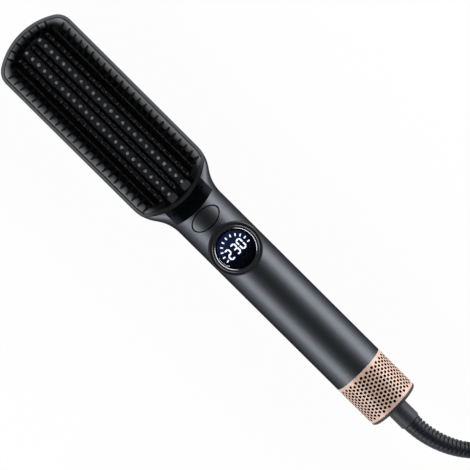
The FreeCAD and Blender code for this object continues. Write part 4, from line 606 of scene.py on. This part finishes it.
plug = {
    "start": 292.65,
    "around": 96,
    "stations": [  # x from the start, half width, half height, roundness power
        (0.02, 3.4, 3.4, 2), (0.15, 4.1, 4.1, 2), (0.6, 4.45, 4.45, 2), (3.2, 4.6, 4.6, 2),
        (3.4, 4.0, 4.0, 2), (4.2, 4.0, 4.0, 2), (4.4, 4.7, 4.7, 2), (6.2, 4.8, 4.8, 2), (6.4, 4.15, 4.15, 2),
        (7.2, 4.15, 4.15, 2), (7.4, 4.85, 4.85, 2), (9.9, 5.0, 5.0, 2), (10.1, 5.6, 5.4, 2.3),
        (10.9, 6.4, 6.1, 2.7), (12.5, 6.9, 6.6, 3), (17, 7.4, 6.75, 3.4), (21, 8.6, 6.8, 3.8),
        (25, 11.0, 6.82, 4.2), (29, 13.8, 6.84, 4.6), (32.5, 16.2, 6.85, 5), (35, 17.2, 6.85, 5.4),
        (38, 17.6, 6.85, 5.6), (45.6, 17.6, 6.85, 5.6), (46.4, 17.45, 6.7, 5.4), (46.85, 17.1, 6.35, 5.2),
        (47, 16.6, 5.9, 5.0),
    ],
}


def makePlug():
    # a moulded plug: rounded boxes along x that swell from a round boot to the flat face; each is a
    # circle whose cosine and sine are raised to 2 / its roundness power
    rows = np.array(plug["stations"])
    angle = np.arange(plug["around"]) * 2 * math.pi / plug["around"]
    power = 2 / rows[:, 3:4]
    y = rows[:, 1:2] * np.sign(np.cos(angle)) * np.abs(np.cos(angle)) ** power
    z = rows[:, 2:3] * np.sign(np.sin(angle)) * np.abs(np.sin(angle)) ** power
    entryY, entryZ = cable["plugEntry"][1:]
    points = np.stack([plug["start"] + rows[:, :1] + 0 * y, entryY + y, entryZ + z], -1)
    shape = points.shape[:2]
    return makePiece("plugShell", [points], [gridFaces(*shape), endCaps(*shape)], "plugBlack")


relief = {
    "start": 157.6, "bend": 60.0, "turn": 40.0, "droop": 18.0,  # radius and angles of its path
    "thick": 5.8, "thin": 4.7, "startRound": 0.5, "endRound": 1.2, "endShare": 0.72,
    "pitch": 2.72, "lead": 2.2, "tail": 4.0,  # of the grooves
    "halfGroove": (0.2, 0.5, 1.5),  # least, what the inside of the bend adds, and how fast it falls off
    "depth": (0.2, 1.3, 1.4),
    "wall": 0.06,
    "rows": 421, "around": 112,
}


def makeRelief():
    # a tapered tube along an arc; its radius dips in a groove between each two rings, deep and wide on
    # the inside of the bend and a fine line on the outside
    bend, length = relief["bend"], relief["bend"] * math.radians(relief["turn"])
    along = np.linspace(0, length, relief["rows"])[:, None]
    angle = (np.arange(relief["around"]) * 2 * math.pi / relief["around"])[None, :]
    droop = math.radians(relief["droop"])
    ahead = np.array([1, 0, 0])
    aside = np.array([0, math.cos(droop), -math.sin(droop)])
    up = np.array([0, math.sin(droop), math.cos(droop)])
    sine, cosine = np.sin(along / bend)[..., None], np.cos(along / bend)[..., None]
    centre = np.array([relief["start"], 0, brush["axis"]]) + bend * (sine * ahead + (1 - cosine) * aside)
    outward = cosine * aside - sine * ahead
    inner = (1 + np.cos(angle)) / 2  # 1 on the inside of the bend
    halfGroove, depth = (least + added * inner ** power
                         for least, added, power in (relief["halfGroove"], relief["depth"]))
    phase = (along - relief["lead"]) / relief["pitch"]
    away = np.abs(phase - np.round(phase)) * relief["pitch"]
    dip = 1 / (1 + np.exp((away - halfGroove) / relief["wall"]))  # 1 in a groove, 0 on a ring
    inRows = (along > relief["lead"]) & (along < length - relief["tail"])
    taper = relief["thick"] + (relief["thin"] - relief["thick"]) * along / length
    toEnd = np.clip((along - (length - relief["endRound"])) / relief["endRound"], 0, 1)
    share = relief["endShare"] + (1 - relief["endShare"]) * np.sqrt(1 - toEnd ** 2)
    radius = (taper - depth * dip * inRows) * share
    radius = radius - relief["startRound"] * np.clip(1 - along / relief["startRound"], 0, 1) ** 2
    ringWay = np.cos(angle)[..., None] * outward + np.sin(angle)[..., None] * up
    points = centre + radius[..., None] * ringWay
    shape = points.shape[:2]
    return makePiece("bendRelief", [points], [gridFaces(*shape), endCaps(*shape)], "cableBlack")


cordPiece = makeCord()
tiePiece = makeTie()
plugPiece = makePlug()
reliefPiece = makeRelief()
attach(cordPiece, "cord_end")
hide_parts("cord", "cord_hank")
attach(tiePiece, "cord_end")
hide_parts("cord_tie")
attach(plugPiece, "cord_end")
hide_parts("plug_body")
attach(reliefPiece, "cord_end")
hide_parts("strain_relief")
print("cord, hank, tie, plug and strain relief made")


holes = {
    "radius": 0.9, "rows": 48, "first": 2.7, "pitch": 2.53, "inRow": 10,
    "thick": 0.8, "edge": 0.12, "plain": 0.6,  # of the sleeve: its wall, its rounding and a first band
}


def sleeveCells(length):
    # places on the unrolled sleeve as (along, turn): 48 rows of square cells, every second row shifted
    # by half a cell; each cell is a ring of twelve quads between its border and a round hole
    pitch, turn, inRow = holes["pitch"], 2 * math.pi / holes["rows"], holes["inRow"]
    border = np.array([(-1, -1), (-1, 0), (-1, 1), (-0.5, 1), (0, 1), (0.5, 1),
                       (1, 1), (1, 0), (1, -1), (0.5, -1), (0, -1), (-0.5, -1)]) * [pitch / 2, turn / 2]
    direction = np.pi - (np.arange(12) - 1) * np.pi / 6
    rim = holes["radius"] * np.column_stack([np.cos(direction), np.sin(direction) / brush["axis"]])
    rowTurn = turn * np.arange(holes["rows"])
    shiftedRows, fullRows = rowTurn[::2], rowTurn[1::2]
    fullX = holes["first"] + pitch * np.arange(inRow)
    centre = np.concatenate([crossed(fullX, fullRows).reshape(-1, 1, 2),
                             crossed(fullX[:-1] + pitch / 2, shiftedRows).reshape(-1, 1, 2)])
    cells = np.stack([centre + border, centre + rim], axis=2)  # cell, corner, border or rim, place
    firstX, lastX = fullX[0] - pitch / 2, fullX[-1] + pitch / 2
    steps = holes["rows"] * 2
    bandTurn = np.arange(steps) / steps * 2 * math.pi - turn / 2
    bands = [crossed([holes["edge"], holes["plain"], firstX], bandTurn),
             crossed([lastX, length - holes["plain"], length - holes["edge"]], bandTurn)]
    # the shifted rows end in blank half cells of two by two quads
    blankX = np.stack([firstX + pitch / 4 * np.arange(3), lastX - pitch / 4 * np.arange(3)[::-1]])
    blankTurn = shiftedRows[:, None] + turn / 2 * (np.arange(3) - 1)
    blanks = np.stack(np.broadcast_arrays(blankX[:, None, :, None], blankTurn[None, :, None, :]), -1)
    return cells, bands, blanks.reshape(-1, 9, 2), bandTurn


def makeSleeve():
    # the cells, bands and blanks share their border points, and are rolled up as an outer and an inner
    # wall joined at the holes and at both ends
    outer, start, length = brush["axis"], brush["sleeveStart"], brush["ringFace"] - brush["sleeveStart"]
    cells, bands, blanks, bandTurn = sleeveCells(length)
    flat = np.concatenate([places.reshape(-1, 2) for places in (cells, *bands, blanks)])
    key = np.column_stack([np.round(flat[:, 0], 4), np.round(np.mod(flat[:, 1] + 1e-7, 2 * math.pi), 5)])
    unique, place = np.unique(key, axis=0, return_inverse=True)
    place = place.ravel()
    count, steps = len(unique), len(bandTurn)
    placed = place[:cells.size // 2].reshape(cells.shape[:3])
    border, rims = placed[..., 0], placed[..., 1]
    nextBorder, nextRims = np.roll(border, -1, axis=1), np.roll(rims, -1, axis=1)
    bandStart = placed.size
    blankStarts = bandStart + 6 * steps + 9 * np.arange(len(blanks))[:, None, None]
    front = np.concatenate([
        np.stack([nextBorder, nextRims, rims, border], -1).reshape(-1, 4),
        place[gridFaces(3, steps, bandStart)],
        place[gridFaces(3, steps, bandStart + 3 * steps)],
        place[(blankStarts + gridFaces(3, 3, closeColumns=False)).reshape(-1, 4)],
    ])
    walls = np.stack([rims, nextRims, nextRims + count, rims + count], -1).reshape(-1, 4)
    ring = np.arange(steps)
    first, last = place[bandStart + ring], place[bandStart + 5 * steps + ring]
    near, far = 2 * count + ring, 2 * count + steps + ring
    seams = ((near, first), (first + count, near), (last, far), (far, last + count))
    ends = np.concatenate([np.stack([one, np.roll(one, -1), np.roll(other, -1), other], -1)
                           for one, other in seams])

    def rolled(radius, x, turn):
        y, z = radius * np.cos(turn), radius * np.sin(turn)
        return np.stack([brush["tip"] + start + x, y, brush["axis"] + z], -1)

    points = [rolled(radius, unique[:, 0], unique[:, 1]) for radius in (outer, outer - holes["thick"])]
    points += [rolled(outer - holes["edge"], np.full(steps, x), bandTurn) for x in (0.0, length)]
    faces = [front, ends, front[:, ::-1] + count, walls]
    piece = makePiece("perforatedSleeve", points, faces, "sleeveRoseGold")
    # the inner face and the hole walls take the painted shade
    setLooks(piece, (len(front) + len(ends), "sleevePaintedShade"))
    return piece


tailRing = {
    "behind": 3.0, "bore": 6.53, "core": 12.0, "corner": 1.45, "around": 128,
    # the step's points are (before the ring's end, radius), and the lip's (past its start, inwards)
    "step": [(0.3, 6.53), (0.05, 6.8), (0, 7.2), (0, 13.2), (0.25, 13.3), (0.25, 13.6)],
    "lip": [(0.2, 0), (0.02, 0.1), (0, 0.3)],
}


def makeTailRing():
    # a profile turned about the brush's axis: a thick washer with a rounded outer corner and a shallow
    # step round the cord's collar
    start, end, corner, outer = brush["ringFace"], brush["bodyLength"], tailRing["corner"], brush["axis"]
    profile = [(start - tailRing["behind"], tailRing["core"]), (start - tailRing["behind"], tailRing["bore"])]
    profile += [(end - before, radius) for before, radius in tailRing["step"]]
    profile += cornerArc((end - corner, outer - corner), corner, 0, 90, 9)
    profile += [(start + past, outer - inwards) for past, inwards in tailRing["lip"]]
    profile += [(start, tailRing["core"])]
    faces = gridFaces(len(profile), tailRing["around"], closeRows=True)
    return makePiece("tailRing", [turnedPoints(profile, tailRing["around"])], [faces], "tailBlack")


sleevePiece = makeSleeve()
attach(sleevePiece, "handle")
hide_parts("perforated_sleeve")
ringPiece = makeTailRing()
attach(ringPiece, "handle")
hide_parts("tail_ring")
print("tail made")


dial = {
    "low": 31.6, "bore": 12.15, "radius": 13.5, "top": 37.4, "foot": 0.3, "around": 160,
    "lip": [(0.94, 0), (0.9, 0.48), (0.78, 0.53), (0.65, 0.48), (0.47, 0.22), (0.43, 0.1)],
    "crown": [(0.06, 0.6), (0, 0.45), (0.03, 0.35), (0.2, 0.1), (0.4, 0)],
    "brightRows": (3, 5),  # of the lip
}
window = {
    "low": 35.0, "top": 36.4, "radius": 11.85, "face": 10.55, "faceTop": 35.12, "figureTop": 35.2,
    "glassLow": 35.26, "middle": 0.02, "edge": 0.1, "figureSink": 0.02,
    "bevel": [(0, -0.05), (0.03, 0.05), (0.3, 0.45), (0.34, 0.6)],
    "shoulder": [(0.4, 0.1), (0.5, 0)],
}
figures = {"height": 7.0, "width": 3.55, "stroke": 0.46, "middleX": 0.05, "middles": (-4.75, -0.15, 4.2),
           "segments": {"2": "abged", "3": "abgcd", "0": "abcdef"}, "shown": "230",
           "shorten": 0.1,  # of each segment, at both ends
           "tickX": 0.45, "tickRadius": 8.4, "tickLength": 1.6, "tickWidth": 0.75, "tickStep": 20.0,
           "ticks": 11}


def makeDialRing():
    # a profile turned about the dial's axis, with a bright bevel along a lip that overhangs the
    # window's edge; lip and crown points are (below the top, inwards from the bore or the outside)
    low, bore, radius, top, foot = (dial[name] for name in ("low", "bore", "radius", "top", "foot"))
    profile = [(low, bore)]
    profile += [(top - below, bore - inwards) for below, inwards in dial["lip"]]
    profile += [(top - below, radius - inwards) for below, inwards in dial["crown"]]
    profile += [(low + foot, radius), (low, radius - foot)]
    points = turnedPoints(profile, dial["around"], upright=True)
    faces = gridFaces(len(profile), dial["around"], closeRows=True)
    piece = makePiece("dialRing", [points], [faces], "dialGloss")
    brightStart, brightEnd = (row * dial["around"] for row in dial["brightRows"])
    setLooks(piece, (brightStart, "dialEdge"), (brightEnd, "dialGloss"))
    return piece


def barPoints(start, stop, half, pointed):
    # a flat bar between two places across the dial, with pointed or square ends
    start, stop = np.array(start, dtype=float), np.array(stop, dtype=float)
    forward = (stop - start) / np.linalg.norm(stop - start)
    aside = np.array([-forward[1], forward[0]])
    tip = half if pointed else 0.0
    return np.array([start, start + forward * tip - aside * half, stop - forward * tip - aside * half, stop,
                     stop - forward * tip + aside * half, start + forward * tip + aside * half])


def displayBars():
    # figures of seven segments, whose tops point to the head's tip, and an arc of ticks round them;
    # segment places are (right, up) from the figure's middle
    half, wide = figures["height"] / 2 - figures["stroke"], figures["width"] / 2 - figures["stroke"]
    corners = {"a": ((-wide, half), (wide, half)), "b": ((wide, half), (wide, 0)),
               "c": ((wide, 0), (wide, -half)), "d": ((-wide, -half), (wide, -half)),
               "e": ((-wide, 0), (-wide, -half)), "f": ((-wide, half), (-wide, 0)),
               "g": ((-wide, 0), (wide, 0))}
    bars = []
    for figure, middle in zip(figures["shown"], figures["middles"]):
        for segment in figures["segments"][figure]:
            places = [(figures["middleX"] - up, middle + right) for right, up in corners[segment]]
            start, stop = (np.array(place) for place in places)
            short = (stop - start) / np.linalg.norm(stop - start) * figures["shorten"]
            bars.append(barPoints(start + short, stop - short, figures["stroke"], True))
    for k in range(figures["ticks"]):
        turn = math.radians(180 + (k - (figures["ticks"] - 1) / 2) * figures["tickStep"])
        outward = np.array([math.cos(turn), math.sin(turn)])
        near, far = (outward * (figures["tickRadius"] + side * figures["tickLength"] / 2)
                     + [figures["tickX"], 0] for side in (-1, 1))
        bars.append(barPoints(near, far, figures["tickWidth"] / 2, False))
    return np.array(bars)


def makeWindow():
    # a dark face with lit figures, under a clear cap with a bevelled edge: two profiles turned about
    # the dial's axis, and between them each bar as a six-sided prism; bevel points are (below the
    # top, outwards from the face) and shoulder points (below the top, inwards from the outside)
    radius, face, top, around = window["radius"], window["face"], window["top"], dial["around"]
    middle, faceEdge = window["middle"], radius - window["edge"]
    faceProfile = [(window["low"], middle), (window["faceTop"], middle), (window["faceTop"], face),
                   (window["faceTop"], faceEdge), (window["low"], faceEdge)]
    glassProfile = [(window["glassLow"], middle), (top, middle)]
    glassProfile += [(top - below, face + outwards) for below, outwards in window["bevel"]]
    glassProfile += [(top - below, radius - inwards) for below, inwards in window["shoulder"]]
    glassProfile += [(window["glassLow"], radius)]
    facePoints = turnedPoints(faceProfile, around, upright=True)
    glassPoints = turnedPoints(glassProfile, around, upright=True)
    bars = displayBars() + np.array([brush["tip"] + brush["dial"], 0.0])
    levels = [np.concatenate([bars, np.full(bars.shape[:2] + (1,), height)], -1)
              for height in (window["faceTop"] - window["figureSink"], window["figureTop"])]
    barPrisms = np.stack(levels, 1).reshape(-1, 3)  # bar, level, corner
    barStart = facePoints.size // 3
    start = barStart + 12 * np.arange(len(bars))[:, None]
    corner = np.arange(6)
    after = (corner + 1) % 6
    sides = np.stack([start + k for k in (corner, after, 6 + after, 6 + corner)], -1).reshape(-1, 4)
    faceFaces = gridFaces(len(faceProfile), around, closeRows=True)
    glassFaces = gridFaces(len(glassProfile), around, barStart + len(barPrisms), closeRows=True)
    piece = makePiece("displayWindow", [facePoints, barPrisms, glassPoints],
                      [faceFaces, sides, start + 6 + corner, start + 5 - corner, glassFaces], "displayNight")
    lit = len(faceFaces)
    clear = lit + len(sides) + 2 * len(bars)
    setLooks(piece, (2 * around, "displayBorder"), (lit, "displayLit"), (clear, "lensGlass"))
    return piece


dialPiece = makeDialRing()
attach(dialPiece, "dial")
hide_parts("dial_ring")
windowPiece = makeWindow()
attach(windowPiece, "handle")
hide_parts("display_lens")
print("dial and display made")
